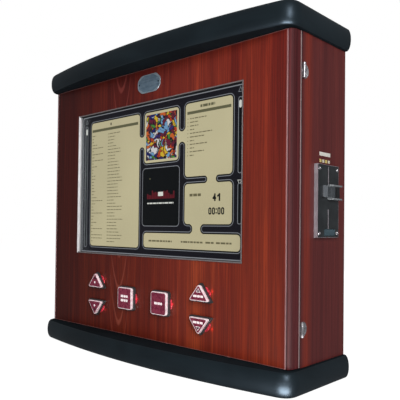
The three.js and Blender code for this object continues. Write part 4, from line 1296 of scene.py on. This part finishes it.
def back_screws():
    """Wood screws round the edge of the back panel."""
    low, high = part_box("back_panel")
    inset, sunk = 9 * MM, 1.9 * MM
    bm = bmesh.new()
    places = []
    for i in range(6):
        x = low.x + inset + (high.x - low.x - 2 * inset) * i / 5
        places += [(x, low.z + inset), (x, high.z - inset)]
    for i in range(1, 4):
        z = low.z + (high.z - low.z) * i / 4
        places += [(low.x + inset, z), (high.x - inset, z)]
    for i, (x, z) in enumerate(places):
        add_screw(bm, Vector((x, high.y - sunk, z)), BACK_WALL, 3.4, 1.8, turn=0.7 * i)
    zinc = SLOT_MATERIALS["zinc_sheet"]
    make_piece("back_panel_screws", bm, [zinc], "root", smooth=True)


def add_hoop(bm, centre, wall, radius, wire, sides=40, around=8):
    """A closed wire ring that lies flat against the wall."""
    rows = []
    for i in range(sides):
        turn = 2 * math.pi * i / sides
        row = []
        for k in range(around):
            bend = 2 * math.pi * k / around
            out = radius + wire * math.cos(bend)
            place = Vector((out * math.cos(turn), out * math.sin(turn), wire * math.sin(bend)))
            row.append(bm.verts.new(centre + wall @ place * MM))
        rows.append(row)
    for i in range(sides):
        here, after = rows[i], rows[(i + 1) % sides]
        for k in range(around):
            j = (k + 1) % around
            bm.faces.new((here[k], here[j], after[j], after[k]))


def fan_guard():
    """Wire rings on four arms, in the round hole behind the fan."""
    low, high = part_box("fan_housing")
    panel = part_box("back_panel")
    middle = (low + high) / 2
    centre = Vector((middle.x, (panel[0].y + panel[1].y) / 2, middle.z))
    wire = 0.9             # radius of the rings' wire
    bar, hub, reach = 0.8, 8, 37       # an arm's half width, and its two ends from the middle
    behind = centre - Vector((0, 1.6, 0)) * MM
    bm = bmesh.new()
    for radius in (10, 18, 26, 34):
        add_hoop(bm, centre, BACK_WALL, radius, wire)
    for k in range(4):
        turn = Matrix.Rotation(math.radians(45 + 90 * k), 2)
        outline = [turn @ p for p in box_outline(hub, reach, -bar, bar)]
        add_slab(bm, outline, behind, BACK_WALL, 1.2, 0.2)
    make_piece("fan_guard", bm, [PLATED], "root", smooth=True)


# ---------------------------------------------------------------- floor, lights, world
def make_floor():
    """A wide pale disc just below the part."""
    bm = bmesh.new()
    bmesh.ops.create_circle(bm, cap_ends=True, segments=96, radius=9.0)
    mesh = bpy.data.meshes.new("floor")
    bm.to_mesh(mesh)
    bm.free()
    mesh.materials.append(floor_paper())
    floor = bpy.data.objects.new("floor", mesh)
    floor.location.z = -0.5 * MM
    floor.visible_diffuse = False
    floor.visible_glossy = False
    floor.visible_shadow = False
    bpy.context.scene.collection.objects.link(floor)


AIM = Vector((0, 0, (cad_low.z + cad_high.z) / 2))


def soft_light(name, azimuth, elevation, distance, size, power, gloss=True, diffuse=True):
    """A soft rectangular light; azimuth 0 stands in front, 90 on the right. Without gloss it
    leaves no highlight, and without diffuse it leaves nothing else."""
    a, e = math.radians(azimuth), math.radians(elevation)
    away = Vector((math.sin(a) * math.cos(e), -math.cos(a) * math.cos(e), math.sin(e)))
    data = bpy.data.lights.new(name, "AREA")
    data.shape = "RECTANGLE"
    data.size, data.size_y = size
    data.energy = power
    light = bpy.data.objects.new(name, data)
    light.location = AIM + away * distance
    light.rotation_mode = "QUATERNION"
    light.rotation_quaternion = away.to_track_quat("Z", "Y")
    light.visible_glossy = gloss
    light.visible_diffuse = diffuse
    bpy.context.scene.collection.objects.link(light)


AMBIENT = 0.15             # strength of the world's light


def make_world():
    """White behind the object; a dimmer even light for everything that it lights."""
    world = bpy.data.worlds.new("studio")
    bpy.context.scene.world = world
    world.use_nodes = True
    tree = world.node_tree
    tree.nodes.clear()
    seen = tree.nodes.new("ShaderNodeBackground")
    seen.inputs["Color"].default_value = (1, 1, 1, 1)
    seen.inputs["Strength"].default_value = 1.0
    light = tree.nodes.new("ShaderNodeBackground")
    light.inputs["Color"].default_value = (0.93, 0.96, 1.0, 1)
    light.inputs["Strength"].default_value = AMBIENT
    path = tree.nodes.new("ShaderNodeLightPath")
    both = tree.nodes.new("ShaderNodeMixShader")
    output = tree.nodes.new("ShaderNodeOutputWorld")
    tree.links.new(path.outputs["Is Camera Ray"], both.inputs[0])
    tree.links.new(light.outputs[0], both.inputs[1])
    tree.links.new(seen.outputs[0], both.inputs[2])
    tree.links.new(both.outputs[0], output.inputs["Surface"])


def make_studio():
    """Plain view settings, the world, the floor and the lights."""
    scene = bpy.context.scene
    scene.view_settings.view_transform = "Standard"
    scene.view_settings.look = "None"
    make_world()
    make_floor()
    soft_light("key", 56, 18, 2.4, (0.7, 1.2), 40)
    soft_light("low", 46, -39, 1.9, (1.5, 0.6), 120, diffuse=False)
    soft_light("front_low", 28, -20, 2.4, (1.4, 1.0), 13, gloss=False)
    soft_light("fill", -40, 18, 2.8, (1.6, 1.6), 6, gloss=False)
    soft_light("above", 10, 80, 2.4, (2.2, 2.2), 10, gloss=False)
    soft_light("behind_right", 128, 12, 2.4, (1.2, 1.6), 6, gloss=False)
    soft_light("behind_left", 205, 22, 2.6, (1.8, 1.8), 26, gloss=False)


# ---------------------------------------------------------------- the scene
make_camera()
dress_cad_nodes()
display_picture()
for node in sorted(NODES):
    if node.endswith("_button_cap"):
        button = node.replace("_button_cap", "")
        button_insert(button)
        painted_leak_glow(button)
        lamp_glow(button)
name_plate_rivets()
coin_plate_screws()
hinge_screws()
side_stickers()
back_screws()
fan_guard()
make_studio()
